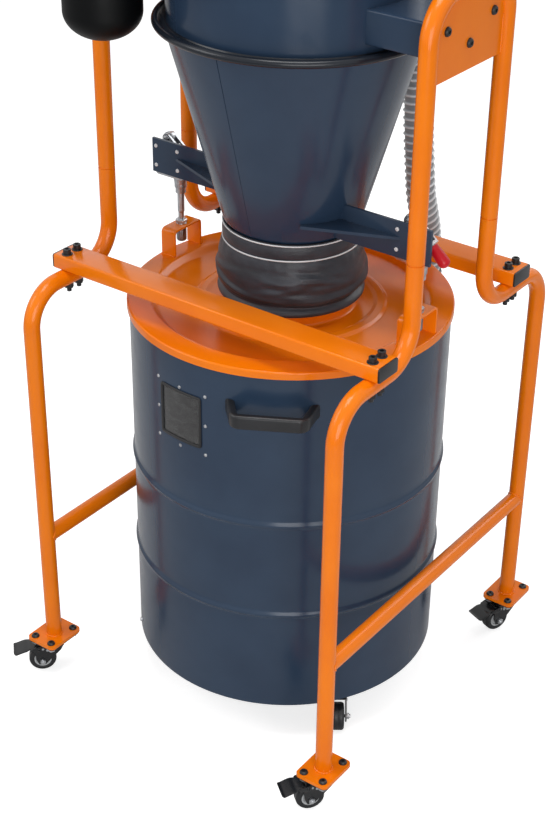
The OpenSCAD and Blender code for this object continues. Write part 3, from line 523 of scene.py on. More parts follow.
def makeDrum(d):
    # wall radius by height with raised-cosine beads, closed by a flat base; faces inside the window are left out
    half = d["windowWide"] / 2 / d["radius"]
    a = radians(d["windowTurn"]) + np.concatenate([np.linspace(-half, half, 13),
        np.linspace(half, full - half, 264)[1:-1]])
    sill = [d["windowZ"] - d["windowHigh"] / 2, d["windowZ"] + d["windowHigh"] / 2]
    z = np.unique(np.concatenate([np.linspace(86, d["top"], 60), sill] +
        [np.linspace(b - d["beadHalf"], b + d["beadHalf"], 17) for b in d["beads"]]))
    r = np.full(len(z), float(d["radius"]))
    for b in d["beads"]:
        off = np.clip(np.abs(z - b) / d["beadHalf"], 0, 1)
        dent = 0.5 * np.exp(-((np.abs(z - b) - d["beadHalf"] - 1.5) / 2) ** 2)
        r += d["beadOut"] * (0.5 + 0.5 * np.cos(pi * off)) - dent
    edge = roundCorners([[0, 72.2], [261, 72.2], [270, 77.4], [270, 84]], [0, 2, 1.6, 0], 4)
    rr, zz = np.concatenate([edge[:, 0], r]), np.concatenate([edge[:, 1], z])
    sway = 0.22 * np.sin(3 * a + 0.4) + 0.14 * np.sin(7 * a + 2.0)
    ease = np.clip((zz - 90) / 120, 0, 1) * np.clip((735 - zz) / 60, 0, 1)
    points = polar(rr[:, None] + ease[:, None] * sway, a, zz[:, None])
    faces = np.array(gridFaces(len(zz), len(a)))
    row, col = faces[:, 0] // len(a), faces[:, 0] % len(a)
    middle = (zz[row] + zz[np.minimum(row + 1, len(zz) - 1)]) / 2
    hole = (col < 12) & (np.abs(middle - d["windowZ"]) < d["windowHigh"] / 2)
    piece = addPiece("drumShell", (points, faces[~hole].tolist()), "blue", replaced="drum_shell",
        weld=True, recalc=False)
    thick = piece.modifiers.new("sheet", "SOLIDIFY")
    thick.thickness, thick.offset = d["wall"], -1


makeDrum(drum)

window = {"wide": 88, "high": 94, "rivetX": 51.5, "rivetZ": 54, "rivetMiddle": 623}


def onDrum(points):
    # x runs round the wall from the window's middle, y up it, z stands out from it
    return polar(drum["radius"] + points[..., 2], radians(drum["windowTurn"]) + points[..., 0] / drum["radius"],
        drum["windowZ"] + points[..., 1])


def makeWindow(w):
    # rubber frame: a half-round lip carried round a rounded rectangle, then wrapped on the drum
    dense = split(rectangle(w["wide"], w["high"], 6, 5), count=8)
    across = np.array([0, 0.2, 0.8, 1.7, 2.7, 3.7, 4.4, 4.9, 5.0, 4.8, 0.3])
    proud = np.array([0.2, 1.3, 2.2, 2.7, 2.8, 2.5, 1.9, 1.0, -1.6, -2.2, 0.0])
    rows = [np.column_stack([insetOutline(dense, d), np.full(len(dense), h)]) for d, h in zip(across, proud)]
    addPiece("windowSeal", (onDrum(np.array(rows)), gridFaces(len(rows), len(dense), True)), "rubber",
        "window_gasket", 50)
    dome = lathe([[0, -1.0], [3.0, -1.0], [3.1, 0.3], [2.7, 1.1], [1.6, 1.7], [0, 1.9]], 16)
    rise = w["rivetMiddle"] - drum["windowZ"]
    places = [(x * w["rivetX"], rise + y * w["rivetZ"], 0) for x in (-1, 0, 1) for y in (-1, 0, 1) if x or y]
    addPiece("windowRivets", joined([(onDrum(dome[0] + np.array(at)), dome[1]) for at in places]), "zinc", weld=True)


makeWindow(window)

handle = {"turn": -60.3, "low": 660, "high": 684, "front": 55, "base": 69, "out": 306.5, "start": 252, "thick": 13,
    "corner": 12}


def makeHandle(h):
    # a rounded bar with a shallow channel along its broad faces, carried along a bent path and flared at the wall
    path = split(roundCorners([[h["start"], -h["base"]], [h["out"], -h["front"]], [h["out"], h["front"]],
        [h["start"], h["base"]]], h["corner"], 9), 4, closed=False)
    path = np.column_stack([path, np.full(len(path), (h["low"] + h["high"]) / 2)])
    outline = rectangle(h["high"] - h["low"], h["thick"], 4.5, 5)
    outline[np.abs(outline[:, 0]) < 6.5, 1] *= 0.8
    scale = 1 + 0.22 * np.clip((np.abs(np.linspace(-1, 1, len(path))) - 0.86) / 0.14, 0, 1) ** 2
    bar = sweepOutline(path, outline, (0, 0, 1), scale)
    addPiece("carryHandle", turned(bar, 0, 0, h["turn"]), "plastic", "drum_handle", 50)


makeHandle(handle)
print("drum made")


# lid: a dished sheet with a collar, and the straps that its clamps pull on
lid = {"outer": 274, "skirt": 731.8, "top": 744.8, "floor": 734.8, "stepOut": 234, "stepIn": 224, "ridge": 150,
    "ridgeUp": 3.6, "innerUp": 1.6, "collar": 107, "collarTop": 798.8, "sheet": 1.5}


def makeLid(d):
    # one closed sheet profile turned round the axis: skirt, rim band, step, dished floor with a ridge, collar
    high, inner = d["floor"] + d["ridgeUp"], d["floor"] + d["innerUp"]
    over = roundCorners([[d["outer"], d["skirt"]], [d["outer"], d["top"]], [d["stepOut"], d["top"]],
        [d["stepIn"], d["floor"]], [d["ridge"] + 12, d["floor"]], [d["ridge"] + 6, high],
        [d["ridge"] - 5, high], [d["ridge"] - 12, inner], [d["collar"], inner],
        [d["collar"], d["collarTop"]]], [0, 3.2, 9, 9, 7, 5, 5, 7, 6, 0], 7)
    t = np.gradient(over, axis=0)
    t /= np.linalg.norm(t, axis=1)[:, None]
    under = (over + np.stack([-t[:, 1], t[:, 0]], -1) * d["sheet"])[::-1]
    addPiece("dishedLid", lathe(np.vstack([over, under]), 256, True), "orange", "drum_lid", 38, "lid")


makeLid(lid)

clampAt = ((254, -10), (-254, 24))  # the plungers' axes
bracket = {"width": 30, "long": 74, "tall": 49, "thick": 4, "bend": 7, "foot": 745}


def makeBrackets(b):
    # flat strap bent over two corners, with a lumpy weld along each foot
    straps, beads = [], []
    reach = b["long"] / 2 - b["thick"] / 2
    top = lid["top"] + b["tall"] - b["thick"] / 2
    strap = rectangle(b["width"], b["thick"], 0.9, 3)
    s = np.linspace(-1, 1, 60)
    for x, y in clampAt:
        path = roundCorners([[x, y - reach, b["foot"]], [x, y - reach, top], [x, y + reach, top],
            [x, y + reach, b["foot"]]], b["bend"], 7)
        straps.append(sweepOutline(path, strap, (1, 0, 0)))
        for side in (-1, 1):
            line = np.stack([x + s * b["width"] / 2, np.full(60, y + side * (reach + 2.2)),
                np.full(60, b["foot"] + 0.4)], -1)
            beads.append(tubeAlong(line, 1.7 + 0.3 * np.sin(26 * s), 10))
    addPiece("plungerBrackets", joined(straps), "orange", "lid_brackets", 40, "lid")
    addPiece("bracketWelds", joined(beads), "orange", smooth=60, body="lid")


makeBrackets(bracket)
print("lid made")


# cyclone: cone, rolled flange, inlet cap and the boxes that reach the stand
cone = {"low": 888.8, "high": 1205.8, "lowR": 113.5, "highR": 203, "spigotR": 107, "spigotLow": 844.8, "sheet": 2,
    "seam": -1.549, "lap": 0.9, "gap": 1.3}


def makeCone(c):
    # straight cone over a short spigot; past the seam the sheet stands proud and eases back, with a fine gap before it
    outer = roundCorners([[c["spigotR"], c["spigotLow"]], [c["spigotR"], c["low"]], [c["lowR"], c["low"]],
        [c["highR"], c["high"]]], [0, 0.8, 1.4, 0], 4)
    outer = np.vstack([outer[:-1], np.linspace(outer[-2], outer[-1], 14)[1:]])
    profile = np.vstack([outer, outer[::-1] - np.array([c["sheet"], 0])])
    a = c["seam"] + np.concatenate([[0.0006], np.linspace(0.01, full - 0.02, 220),
        full - np.array([0.01, 0.009, 0.001])])
    proud = c["lap"] * np.exp(-(a - c["seam"]) / 0.35)
    proud[-2:] = -c["gap"]
    onCone = (profile[:, 1] > c["low"] + 1) & (np.arange(len(profile)) < len(outer))
    points = polar(profile[:, :1] + onCone[:, None] * proud, a, profile[:, 1:])
    addPiece("coneShell", (points, gridFaces(len(points), len(a), True)), "blue", "cyclone_cone", 30)


makeCone(cone)

roll = {"beadAt": 214.4, "beadR": 6.6, "low": 1205.8, "inner": 197}


def makeFlange(f):
    # rolled bead round the outside, a shallow channel inside it, then the seat of the barrel
    t = np.linspace(-0.5 * pi, 0.86 * pi, 18)
    low, inner = f["low"], f["inner"]
    bead = np.stack([f["beadAt"] + f["beadR"] * np.cos(t), low + 6.2 + f["beadR"] * 0.94 * np.sin(t)], -1)
    rest = roundCorners([bead[-1], [f["beadAt"] - 7.6, low + 6.8], [inner + 3.5, low + 7.2], [inner + 2.4, low + 9.6],
        [inner, low + 9.6], [inner, low + 0.2], bead[0]], [0, 1.2, 1.6, 0.6, 0.4, 0.5, 0], 4)
    addPiece("rolledFlange", lathe(np.vstack([bead, rest[1:-1]]), 256, True), "flange", "cyclone_flange", 50)


makeFlange(roll)

inletCap = {"x": -229.26, "y": -182.35, "mouth": 1225.8, "radius": 61.5, "wall": 1.4, "tall": 48, "dome": 45}


def makeInletCap(d):
    # sleeve over the duct's mouth, closed below by half an ellipse turned round the same axis
    t = np.linspace(0, pi / 2, 30)
    r, inside, top = d["radius"], d["radius"] - d["wall"], d["mouth"] + d["tall"]
    dome = np.stack([r * np.sin(t), d["mouth"] - 1.5 - d["dome"] * np.cos(t)], -1)
    rim = roundCorners([dome[-1], [r, top], [inside, top], [inside, d["mouth"]], [0, d["mouth"]]],
        [0, 0.6, 0.6, 2, 0], 4)
    addPiece("inletCap", aim(lathe(np.vstack([dome, rim[1:]]), 128), (d["x"], d["y"], 0)), "cap",
        "inlet_cap", 60, weld=True)


makeInletCap(inletCap)

box = {"end": 300, "halfY": 83, "low": 1228.8, "high": 1280.8, "edge": 3.2, "barrel": 199.1}


def makeArmBoxes(b):
    # a rounded box section whose inner end is cut to the barrel; edges keep a soft radius
    y, z = split(rectangle(2 * b["halfY"], b["high"] - b["low"], b["edge"], 5), 5).T
    start = np.sqrt(b["barrel"] ** 2 - y ** 2)
    arms = [capped(np.array([np.stack([side * (start + (b["end"] - start) * k), y, (b["low"] + b["high"]) / 2 + z], -1)
        for k in (0.0, 0.03, 0.5, 0.97, 1.0)])) for side in (-1, 1)]
    addPiece("armBoxes", joined(arms), "blue", "mount_boxes", 35)


makeArmBoxes(box)
print("cyclone made")


# beams across the stand
beam = {"half": 320.5, "y": 202.25, "low": 782.8, "wide": 52, "tall": 25, "edge": 3.6, "cap": 3}


def makeBeams(b):
    # rounded rectangular tube with dark plugs flush with its ends
    middle = b["low"] + b["tall"] / 2
    for name, node, side in (("frontCrossBeam", "front_beam", -1), ("rearCrossBeam", "rear_beam", 1)):
        tube = slab(rectangle(b["wide"], b["tall"], b["edge"], 6), 0, 2 * b["half"], 0.25, 2)
        addPiece(name, aim(tube, (-b["half"], side * b["y"], middle), (1, 0, 0), (0, 1, 0)), "orange", node, 25)
    plug = slab(rectangle(b["wide"] - 0.6, b["tall"] - 0.6, b["edge"], 6), 0, b["cap"], 0.7, 3)
    plugs = [aim(plug, (end * b["half"], side * b["y"], middle), (end, 0, 0), (0, 1, 0))
        for end in (-1, 1) for side in (-1, 1)]
    addPiece("beamPlugs", joined(plugs), "plastic", "beam_end_caps", 40)


makeBeams(beam)


# bolts, nuts and rivets, and the stand's weld beads
def hexed(shape, first, end):
    # rows first to end of a lathe grid go from a circle to a hexagon with the same flats
    a = circle(shape[0].shape[1])
    shape[0][first:end, :, :2] *= (1 / np.cos((a % (full / 6)) - pi / 6))[:, None]
    return shape


def socketBolt(r, tall, flange):
    # cap head with a hexagon recess, over a flange washer
    profile = [[0, -1.2], [flange, -1.2], [flange, 0.9], [flange - 0.6, 1.5], [r, 1.5], [r, tall - 0.8],
        [r - 0.8, tall], [r * 0.52, tall], [r * 0.46, tall - 0.4], [r * 0.46, tall * 0.45], [0, tall * 0.42]]
    return hexed(lathe(profile, 36), len(profile) - 3, len(profile) - 1)


def domeBolt(r, tall):
    # button head with a hexagon recess
    profile = [[0, -1], [r, -1], [r, 0.5], [r * 0.96, tall * 0.45], [r * 0.8, tall * 0.82], [r * 0.55, tall],
        [r * 0.4, tall], [r * 0.34, tall - 0.4], [r * 0.34, tall * 0.4], [0, tall * 0.36]]
    return hexed(lathe(profile, 30), len(profile) - 3, len(profile) - 1)


def hexNut(flats, tall, stud, studOut):
    # chamfered nut with the end of its bolt through it
    r, end = flats / 2, tall + studOut
    profile = [[0, -0.5], [r * 0.95, -0.5], [r, 0.4], [r, tall - 0.8], [r * 0.92, tall], [stud + 0.1, tall],
        [stud, tall + 0.1], [stud, end - 0.6], [stud * 0.8, end], [0, end]]
    return hexed(lathe(profile, 36), 1, 5)


def setBolts(name, shape, places, along, finish, replaced=None):
    # along is one direction for all, or a list with one for each place
    along = along if isinstance(along, list) else [along] * len(places)
    addPiece(name, joined([aim(shape, at, way) for at, way in zip(places, along)]), finish, replaced=replaced,
        smooth=28, weld=True)


def raised(places, z):
    return [(x, y, z) for x, y in places]


up, down = (0, 0, 1), (0, 0, -1)
stand = {"x": 302.5, "y": 308, "holeX": 19.25, "holeY": 29.15, "braceZ": 294, "beamBolt": 12}
beamPlaces = [(x, s * (beam["y"] + o)) for x in (-stand["x"], stand["x"]) for s in (-1, 1)
    for o in (-stand["beamBolt"], stand["beamBolt"])]
setBolts("beamBoltHeads", socketBolt(6.6, 10, 9.2), raised(beamPlaces, 807.8), up, "oxide", "beam_bolts")
setBolts("beamBoltNuts", hexNut(14, 8, 4, 7), raised(beamPlaces, 755.8), down, "oxide")
footPlaces = [(sx * stand["x"] + x * stand["holeX"], sy * stand["y"] + y * stand["holeY"])
    for sx in (-1, 1) for sy in (-1, 1) for x in (-1, 1) for y in (-1, 1)]
setBolts("footBolts", domeBolt(7.2, 4.6), raised(footPlaces, 78), up, "oxide")
setBolts("footNuts", hexNut(13, 6, 4, 2), raised(footPlaces, 69), down, "zinc")
armPlaces = [(s * 305, y, box["low"] + z) for s in (-1, 1) for y, z in ((0, 8), (-65, 40), (65, 40))]
setBolts("armBolts", domeBolt(7.4, 4.8), armPlaces, [(at[0], 0, 0) for at in armPlaces], "oxide", "side_plate_bolts")
drumBolt = polar(drum["radius"], radians(-133.5), 93)
setBolts("drumSideBolt", domeBolt(3.8, 3.4), [drumBolt], [(drumBolt[0], drumBolt[1], 0)], "zinc")
clampPlate = {"centres": ((247, -37), (-261, -3)), "z": 919.8, "halfX": 23, "halfZ": 17, "nutsBehind": 9}
clampPlaces = [(cx + x * clampPlate["halfX"], cy, clampPlate["z"] + z * clampPlate["halfZ"])
    for cx, cy in clampPlate["centres"] for x in (-1, 1) for z in (-1, 1)]
# the clamp screws take the pale wire finish: their white look is a painted glint
setBolts("clampScrews", domeBolt(3.4, 1.9), clampPlaces, (0, -1, 0), "wire")
setBolts("clampNuts", hexNut(9, 4, 2.4, 2.5), [(x, y + clampPlate["nutsBehind"], z) for x, y, z in clampPlaces],
    (0, 1, 0), "zinc")

weld = {"legRing": 14.6, "braceRing": 14.3, "plateX": 2.6, "plateY": 94.4, "plateLow": 1198, "plateHigh": 1257}


def makeWelds(w):
    # overlapping beads: thin rings and lines whose thickness ripples
    parts = []
    a = np.linspace(0, full, 91)
    reach = w["braceRing"] * np.cos(a)
    inward = np.sqrt(np.maximum(w["braceRing"] ** 2 - reach ** 2 * 0.985, 0))
    for x in (-stand["x"], stand["x"]):
        for y in (-stand["y"], stand["y"]):
            ring = polar(w["legRing"], a, 78.6) + np.array([x, y, 0])
            parts.append(tubeAlong(ring, 1.7 + 0.35 * np.sin(21 * a), ends=False))
        for y in (-1, 1):  # braces cut to the legs
            ring = np.stack([x + reach, y * (stand["y"] - inward), stand["braceZ"] + w["braceRing"] * np.sin(a)], -1)
            parts.append(tubeAlong(ring, 1.4 + 0.25 * np.sin(23 * a), flat=(0, 1, 0), ends=False))
    for side in (-1, 1):
        for y in (-1, 1):
            line = np.stack([np.full(60, side * (stand["x"] + w["plateX"])), np.full(60, y * w["plateY"]),
                np.linspace(w["plateLow"], w["plateHigh"], 60)], -1)
            parts.append(tubeAlong(line, 1.5 + 0.3 * np.sin(np.linspace(0, 90, 60)), flat=(0, 1, 0)))
    addPiece("frameWelds", joined(parts), "orange", smooth=70)


makeWelds(weld)
print("beams, bolts and welds made")


# toggle clamps that hold the lid up
grip = {"pivot": ((232, -10), (-276, 24)), "pivotZ": 945.8, "drop": 40, "from": 52, "crank": 3, "start": 1, "end": 40,
    "rStart": 8.2, "rMiddle": 10.0}


def makeGrips(g):
    # dipped vinyl sleeve: narrower mouth with a lip, fuller towards its rounded end
    drop, bent = radians(g["drop"]), radians(g["drop"] + g["crank"])
    s = np.concatenate([np.linspace(0, 0.7, 22), 0.7 + 0.3 * np.sin(np.linspace(0, pi / 2, 16))[1:]])
    radius = g["rStart"] + (g["rMiddle"] - g["rStart"]) * np.clip(s / 0.6, 0, 1) ** 0.8
    radius = radius + 0.5 * np.exp(-((s - 0.03) / 0.03) ** 2)
    radius = radius * np.sqrt(np.clip(1 - np.clip((s - 0.74) / 0.26, 0, 1) ** 2.4, 0, 1))
    shape = lathe(np.column_stack([np.append(0, radius), g["start"] + np.append(0, s) * (g["end"] - g["start"])]), 40)
    for hand, at in zip(("right", "left"), g["pivot"]):
        start = (at[0] + g["from"] * cos(drop), at[1], g["pivotZ"] - g["from"] * sin(drop))
        addPiece(hand + "VinylGrip", aim(shape, start, (cos(bent), 0, -sin(bent))), "red",
            hand + "_grip", 50, hand + "_lever", True)


makeGrips(grip)

plunger = {"plate": 789.8, "pin": 927.3, "foot": 27.8}


def makePlungers(p):
    # spindle: broad foot under the strap, nuts above it, neck, thicker rod, fork end with its pin
    low, pin = p["plate"], p["pin"]
    spindle = lathe(roundCorners([[0, low - p["foot"]], [6, low - p["foot"]], [6, low + 4], [9.4, low + 4],
        [9.4, low + 5.6], [5, low + 5.6], [5, low + 24], [6, low + 27], [6, pin - 16],
        [0, pin - 16]], [0, 0, 0, 0.4, 0.4, 0, 0.6, 1.5, 0.6, 0], 3), 40)
    ears = slab(boxOutline(-6, 6, -16, 7, [1, 1, 5, 5], 5), -4, 4, 0.6)
    # ribbed dark foot under the strap: its radius ripples ten times round
    a = circle(80)
    rows = np.array([(0, 0), (7.2, 0), (8.3, 1.2), (8.5, 2.6), (8.5, 25.5), (7.8, 27.4), (0, 27.4)])
    ripple = 1 + 0.035 * np.cos(10 * a) * np.array([0, 0.3, 1, 1, 1, 0.3, 0])[:, None]
    foot = polar(rows[:, :1] * ripple, a, low - 28 + rows[:, 1:]), gridFaces(len(rows), len(a))
    parts = []
    for x, y in clampAt:
        parts += [aim(spindle, (x, y, 0)), aim(hexNut(17.6, 6.4, 5.2, 0.2), (x, y, low + 5.6), up, (0.8, 0.6, 0)),
            aim(ears, (x, y, pin), (0, -1, 0), (1, 0, 0)),
            aim(lathe([[0, -9.5], [3, -9.5], [3, 9.5], [0, 9.5]], 24), (x, y, pin), (0, 1, 0))]
    addPiece("clampPlungers", joined(parts), "zinc", "lid_plungers", 30, "lid", True)
    addPiece("plungerFeet", joined([aim(foot, (x, y, 0)) for x, y in clampAt]), "steel", smooth=40, body="lid",
        weld=True)


makePlungers(plunger)

clampBody = {"low": 883.8, "top": 891.8, "guideLow": 850.8, "left": -36, "right": 24, "pivot": 945.8, "pivotIn": 22,
    "bore": 6.15}


def makeClampBodies(b):
    # cast body behind the plate: base, bridge, pivot ear, and a guide whose radius steps down towards its mouth
    low, top, pivot, back = b["low"], b["top"], b["pivot"], -b["pivotIn"] - 10
    flat = [slab(boxOutline(b["left"], b["right"], low, pivot, 5), 18, 22, 0.6),
        slab(boxOutline(back, -7, low, top, 1.6, 3), -9, 21, 0.8),
        slab(boxOutline(-5, 5, low, top - 1, 1.6, 3), 7.5, 21, 0.8),
        slab(boxOutline(back, back + 20, top - 1, pivot + 10, [0.5, 0.5, 9.8, 9.8], 7), -4, 4, 0.7)]
    guide = lathe(roundCorners([[b["bore"], top], [12.6, top], [12.6, top - 9], [10.6, top - 24], [10.6, top - 30],
        [9, top - 32], [9, b["guideLow"]], [b["bore"], b["guideLow"]]], [0, 0.8, 2, 2, 1, 1, 0.9, 0], 3), 48, True)
    pin = aim(lathe([[0, -10], [3, -10], [3, 10], [0, 10]], 20), (-b["pivotIn"], 0, pivot), (0, 1, 0))
    local = [aim(shape, (0, 0, 0), (0, -1, 0), (1, 0, 0)) for shape in flat] + [guide, pin]
    addPiece("clampCastings", joined([aim(shape, (x, y, 0)) for x, y in clampAt for shape in local]), "zinc",
        "clamp_bodies", 30, weld=True)


makeClampBodies(clampBody)
pinPlaces = [(x, y + s * 10, grip["pivotZ"]) for x, y in grip["pivot"] for s in (-1, 1)]
setBolts("pivotHeads", domeBolt(4.8, 2.6), pinPlaces, [(0, s, 0) for pivot in grip["pivot"] for s in (-1, 1)], "zinc")
print("clamps made")


# casters: place and heading of each on the frame, then turn and heading of each under the drum
caster = {"trail": 24, "wheelR": 25, "forkHalf": 15.5, "drumR": 232, "drum": ((-30, -54), (90, -62), (210, -48)),
    "frame": ((-302.5, -308, -135), (302.5, -308, -128), (302.5, 308, -112), (-302.5, 308, -120))}


def casterSpots(c):
    spots = [("caster_%d" % (i + 1), x, y, h, True) for i, (x, y, h) in enumerate(c["frame"])]
    for i, (turn, h) in enumerate(c["drum"]):
        x, y, _ = polar(c["drumR"], radians(turn), 0)
        spots.append(("drum_caster_%d" % (i + 1), x, y, h, False))
    return spots


def camel(name):
    first, *rest = name.split("_")
    return first + "".join(word.capitalize() for word in rest)


def makeCasters(c):
    # tyre, hub and fittings are profiles turned about the axle
    axle = (c["trail"], 0, c["wheelR"])
    tyre = aim(lathe(roundCorners([[15.5, -9.6], [19, -10.8], [23.2, -10.4], [25, -6.5], [25, -0.5], [24.7, 0],
        [25, 0.5], [25, 6.5], [23.2, 10.4], [19, 10.8], [15.5, 9.6]],
        [0, 2, 3, 3, 0, 0, 0, 3, 3, 2, 0], 5), 64, True), axle, (0, 1, 0), (1, 0, 0))
    halfHub = [[16.2, 9.2], [15.6, 9.8], [13.0, 9.6], [12.2, 8.6], [11.4, 6.6], [8.2, 6.8], [7.4, 9.4], [6.4, 10.2],
        [3.2, 10.2]]
    hub = aim(lathe([[r, -z] for r, z in halfHub[::-1]] + halfHub, 48, True), axle, (0, 1, 0), (1, 0, 0))
    race = lathe([[17.2, 66.4], [18.6, 66.0], [19.8, 64.6], [20.0, 63.0], [19.2, 61.4], [17.4, 60.8]], 48, True)
    half, rivet = c["forkHalf"], domeBolt(2.6, 1.6)
    for name, x, y, heading, braked in casterSpots(c):
        fittings = [aim(hexNut(10, 4.6, 3.2, 2.4), (c["trail"], half, c["wheelR"]), (0, 1, 0)),
            aim(hexNut(11, 4.2, 4.4, 0.2), (c["trail"], -half, c["wheelR"]), (0, -1, 0))]
        fittings += [aim(rivet, (rx, side * half, rz), (0, side, 0)) for side in (-1, 1)
            for rx, rz in (((15, 49), (23, 52)) if braked else ((8, 49),))]
        for suffix, shape, finish, part, smooth in (
                ("Tyre", tyre, "tyre", "_wheel", 40), ("Hub", hub, "hub", "_wheel", 30),
                ("Fittings", joined(fittings), "zinc", "_fork", 30), ("Race", race, "steel", "_fork", 60)):
            addPiece(camel(name) + suffix, turned(shape, x, y, heading), finish,
                name + part if suffix == "Tyre" else None, smooth, name + part, suffix == "Fittings")
        if braked:
            makePedal(pedal, name, x, y, heading)


pedal = {"x": 30, "z": 54, "drop": 18, "from": 6, "length": 46, "thick": 2.2, "cheek": 17.6}


def makePedal(d, name, x, y, heading):
    # width by length: narrow neck, broad tread with a turned-up lip; two cheeks run back to the pin
    s = np.linspace(0, 1, 34)
    along = d["from"] + s * (d["length"] - d["from"])
    rise = 4.2 + 0.8 * np.sin(pi * s) + 3.0 * np.clip((s - 0.86) / 0.14, 0, 1) ** 2
    rise = rise - 0.6 * np.exp(-((s - 0.35) / 0.1) ** 2)
    half = 19 - 3.2 * np.exp(-((s - 0.22) / 0.14) ** 2) - 3.5 * np.clip((s - 0.93) / 0.07, 0, 1) ** 2
    half = half - 3.0 * np.clip((0.05 - s) / 0.05, 0, 1)
    outline = rectangle(2, d["thick"], 0.45, 3)
    rows = np.stack(np.broadcast_arrays(along[:, None], outline[:, 0] * half[:, None],
        rise[:, None] + outline[:, 1]), -1)
    ear = slab(roundCorners([[-5, -5], [5, -5], [16, 1.5], [16, 5.2], [-5, 5.2]], [4, 3, 2, 1, 3], 4, True),
        -1.2, 1.2, 0.4, 2)
    parts = [capped(rows)]
    for side in (-1, 1):
        parts += [aim(ear, (0, side * d["cheek"], 0), (0, -1, 0), (1, 0, 0)),
            aim(domeBolt(3.0, 1.6), (0, side * (d["cheek"] + 1.2), 0), (0, side, 0))]
    parts.append(aim(lathe([[0, -18.5], [2.4, -18.5], [2.4, 18.5], [0, 18.5]], 16), (0, 0, 0), (0, 1, 0)))
    points, faces = joined(parts)
    drop = radians(d["drop"])
    points = np.stack([d["x"] + points[:, 0] * cos(drop) + points[:, 2] * sin(drop), points[:, 1],
        d["z"] - points[:, 0] * sin(drop) + points[:, 2] * cos(drop)], -1)
    addPiece(camel(name) + "Pedal", turned((points, faces), x, y, heading), "black", name + "_pedal",
        35, name + "_pedal", True)


makeCasters(caster)
print("casters made")


# fan, motor and hose fittings, above the photograph's edge
cowl = {"radius": 89, "low": 1753.8, "tall": 62}


def makeCowl(f):
    # deep drawn cover: rounded crown with a dished grille of rings and spokes
    r, low, high = f["radius"], f["low"], f["low"] + f["tall"]
    outer = roundCorners([[r, low], [r, high - 2], [r - 16, high], [64, high], [62, high - 3], [0, high - 4]],
        [0, 12, 6, 1.5, 2, 0], 6)
    inner = np.array([[0, high - 8], [r - 14, high - 8], [r - 1.6, high - 20], [r - 1.6, low]])
    addPiece("fanCowl", lathe(np.vstack([outer, inner]), 96, True), "plastic", "motor_cowl", 40, weld=True)
    parts = [tubeAlong(polar(radius, np.linspace(0, full, 81), high - 2.6), 1.3, ends=False)
        for radius in (14, 24, 34, 44, 54)]
    parts += [tubeAlong(polar(np.linspace(-62, 62, 20), k * pi / 4, high - 2.2), 1.3) for k in range(4)]
    addPiece("cowlGrille", joined(parts), "steel", smooth=60)


makeCowl(cowl)

terminal = {"x": 86, "z": 1670.8, "wide": 90, "cover": 93, "deep": 34, "coverOut": 47, "screws": 38}


def makeTerminalBox(t):
    # rounded box with a lid, four screws and a cable gland
    parts = [aim(shape, (t["x"], 0, t["z"]), (1, 0, 0), (0, 1, 0)) for shape in
        (slab(rectangle(t["wide"], t["wide"], 7, 5), 0, t["deep"], 1.2),
        slab(rectangle(t["cover"], t["cover"], 8, 5), t["deep"], t["coverOut"], 2.5, 4))]
    gland = roundCorners([[0, -2], [11, -2], [11, 5], [8.5, 6], [8.5, 13], [0, 14]], [0, 0.8, 0.8, 0.8, 3, 0], 3)
    parts.append(aim(lathe(gland, 32), (t["x"] + 20, 0, t["z"] - t["wide"] / 2), down))
    addPiece("terminalBoxShell", joined(parts), "plastic", "terminal_box", 40, weld=True)
    setBolts("terminalScrews", domeBolt(3.6, 2.2), [(132.8, y * t["screws"], t["z"] + z * t["screws"])
        for y in (-1, 1) for z in (-1, 1)], (1, 0, 0), "zinc")


makeTerminalBox(terminal)
setBolts("topFlangeBolts", hexNut(11, 5, 3, 2), polar(200, circle(16) + 0.1, 1447.8), up, "zinc")
setBolts("motorFootBolts", hexNut(12, 6, 3.5, 2), polar(96, circle(8) + 0.39, 1577.8), up, "zinc")

hoseClamp = {"places": ((66, 262, 1436), (82, 298, 693)), "housing": (-0.5, 0.86, 0), "screw": (-0.86, -0.5, 0),
    "screwX": -23, "screwY": 23.6}


def makeHoseClamps(h):
    # thin bands with a rolled edge and a screw housing
    band = lathe([[26.9, -5], [29.4, -5.2], [29.8, -4.4], [29.4, -3.8], [29.4, 3.8], [29.8, 4.4], [29.4, 5.2],
        [26.9, 5]], 64, True)
    parts = []
    for x, y, z in h["places"]:
        parts += [aim(band, (x, y, z)), aim(slab(rectangle(16, 9, 2), 28.5, 35.5, 1.2), (x, y, z), h["housing"]),
            aim(hexNut(7, 5, 1.5, 0.2), (x + h["screwX"], y + h["screwY"], z), h["screw"])]
    addPiece("hoseClamps", joined(parts), "zinc", smooth=40, weld=True)


makeHoseClamps(hoseClamp)
print("fan and fittings made")


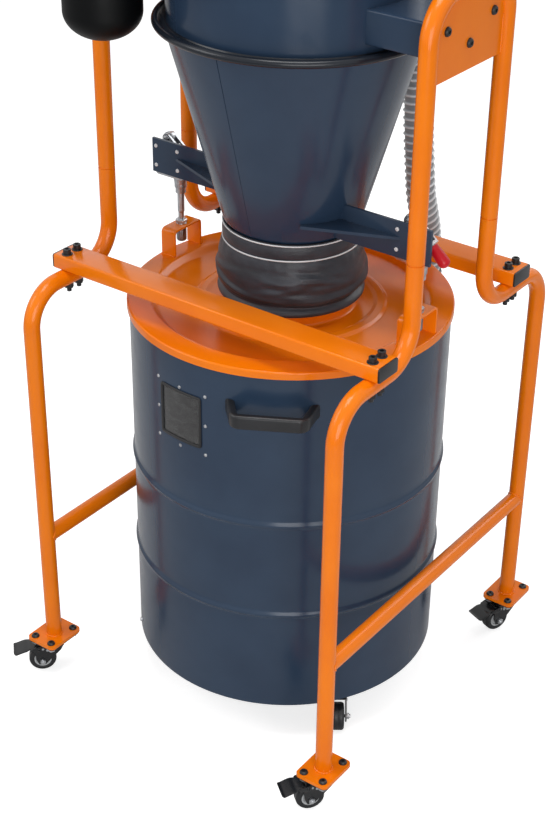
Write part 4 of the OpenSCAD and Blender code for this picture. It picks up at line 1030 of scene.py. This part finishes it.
# stage; a lamp is its name, place, target, size and power
stage = {"floorSize": 9.0, "floorColor": "dcdcdc", "floorGlow": 0.68, "skyLight": 0.36, "skySeen": 1.0}
lamps = [("keyPanel", (-2.6, -2.6, 3.4), (0, 0, 0.8), 2.0, 50), ("fillPanel", (1.8, -1.9, 1.3), (0, 0, 0.6), 1.5, 32),
    ("backPanel", (0.8, 3.2, 2.8), (0, 0, 1.0), 1.8, 34), ("topPanel", (0.2, -0.4, 4.2), (0, 0, 0.8), 1.6, 62)]


def makeFloor(s):
    # a matt floor, which also glows for the camera's rays, so that it is white
    size = s["floorSize"]
    mesh = bpy.data.meshes.new("studioFloor")
    mesh.from_pydata([(-size, -size, 0), (size, -size, 0), (size, size, 0), (-size, size, 0)], [], [(0, 1, 2, 3)])
    putObject("studioFloor", mesh)
    finish, tree, shader = newFinish("studioFloorPaint", s["floorColor"], 0.9, specular=0.0)
    glow = addNode(tree, "Emission", Color=(1, 1, 1, 1), Strength=s["floorGlow"])
    add = addNode(tree, "AddShader")
    tree.links.new(shader.outputs["BSDF"], add.inputs[0])
    tree.links.new(glow.outputs["Emission"], add.inputs[1])
    path = addNode(tree, "LightPath")
    mixByRay(tree, path.outputs["Is Camera Ray"], shader.outputs["BSDF"], add.outputs[0], "Material Output")
    mesh.materials.append(finish)


def makeWorld(s):
    # camera, glossy and transmission rays see white; the rest of the light is dimmer
    world = bpy.data.worlds.new("studioWorld")
    bpy.context.scene.world = world
    world.use_nodes = True
    tree = world.node_tree
    plain, white = [addNode(tree, "Background", Color=(1, 1, 1, 1), Strength=s[key]) for key in ("skyLight", "skySeen")]
    path = addNode(tree, "LightPath").outputs
    direct = mathNode(tree, "MAXIMUM", path["Is Camera Ray"], path["Is Transmission Ray"])
    mixByRay(tree, mathNode(tree, "MAXIMUM", direct, path["Is Glossy Ray"]), plain.outputs["Background"],
        white.outputs["Background"], "World Output")


def makeLamps():
    for name, at, target, size, power in lamps:
        data = bpy.data.lights.new(name, "AREA")
        data.shape = "SQUARE"
        data.size = size
        data.energy = power
        lamp = putObject(name, data)
        lamp.location = at
        lamp.rotation_euler = (Vector(target) - Vector(at)).to_track_quat("-Z", "Y").to_euler()


makeFloor(stage)
makeWorld(stage)
makeLamps()
bpy.context.scene.view_settings.view_transform = "Standard"
print("stage and lamps made")
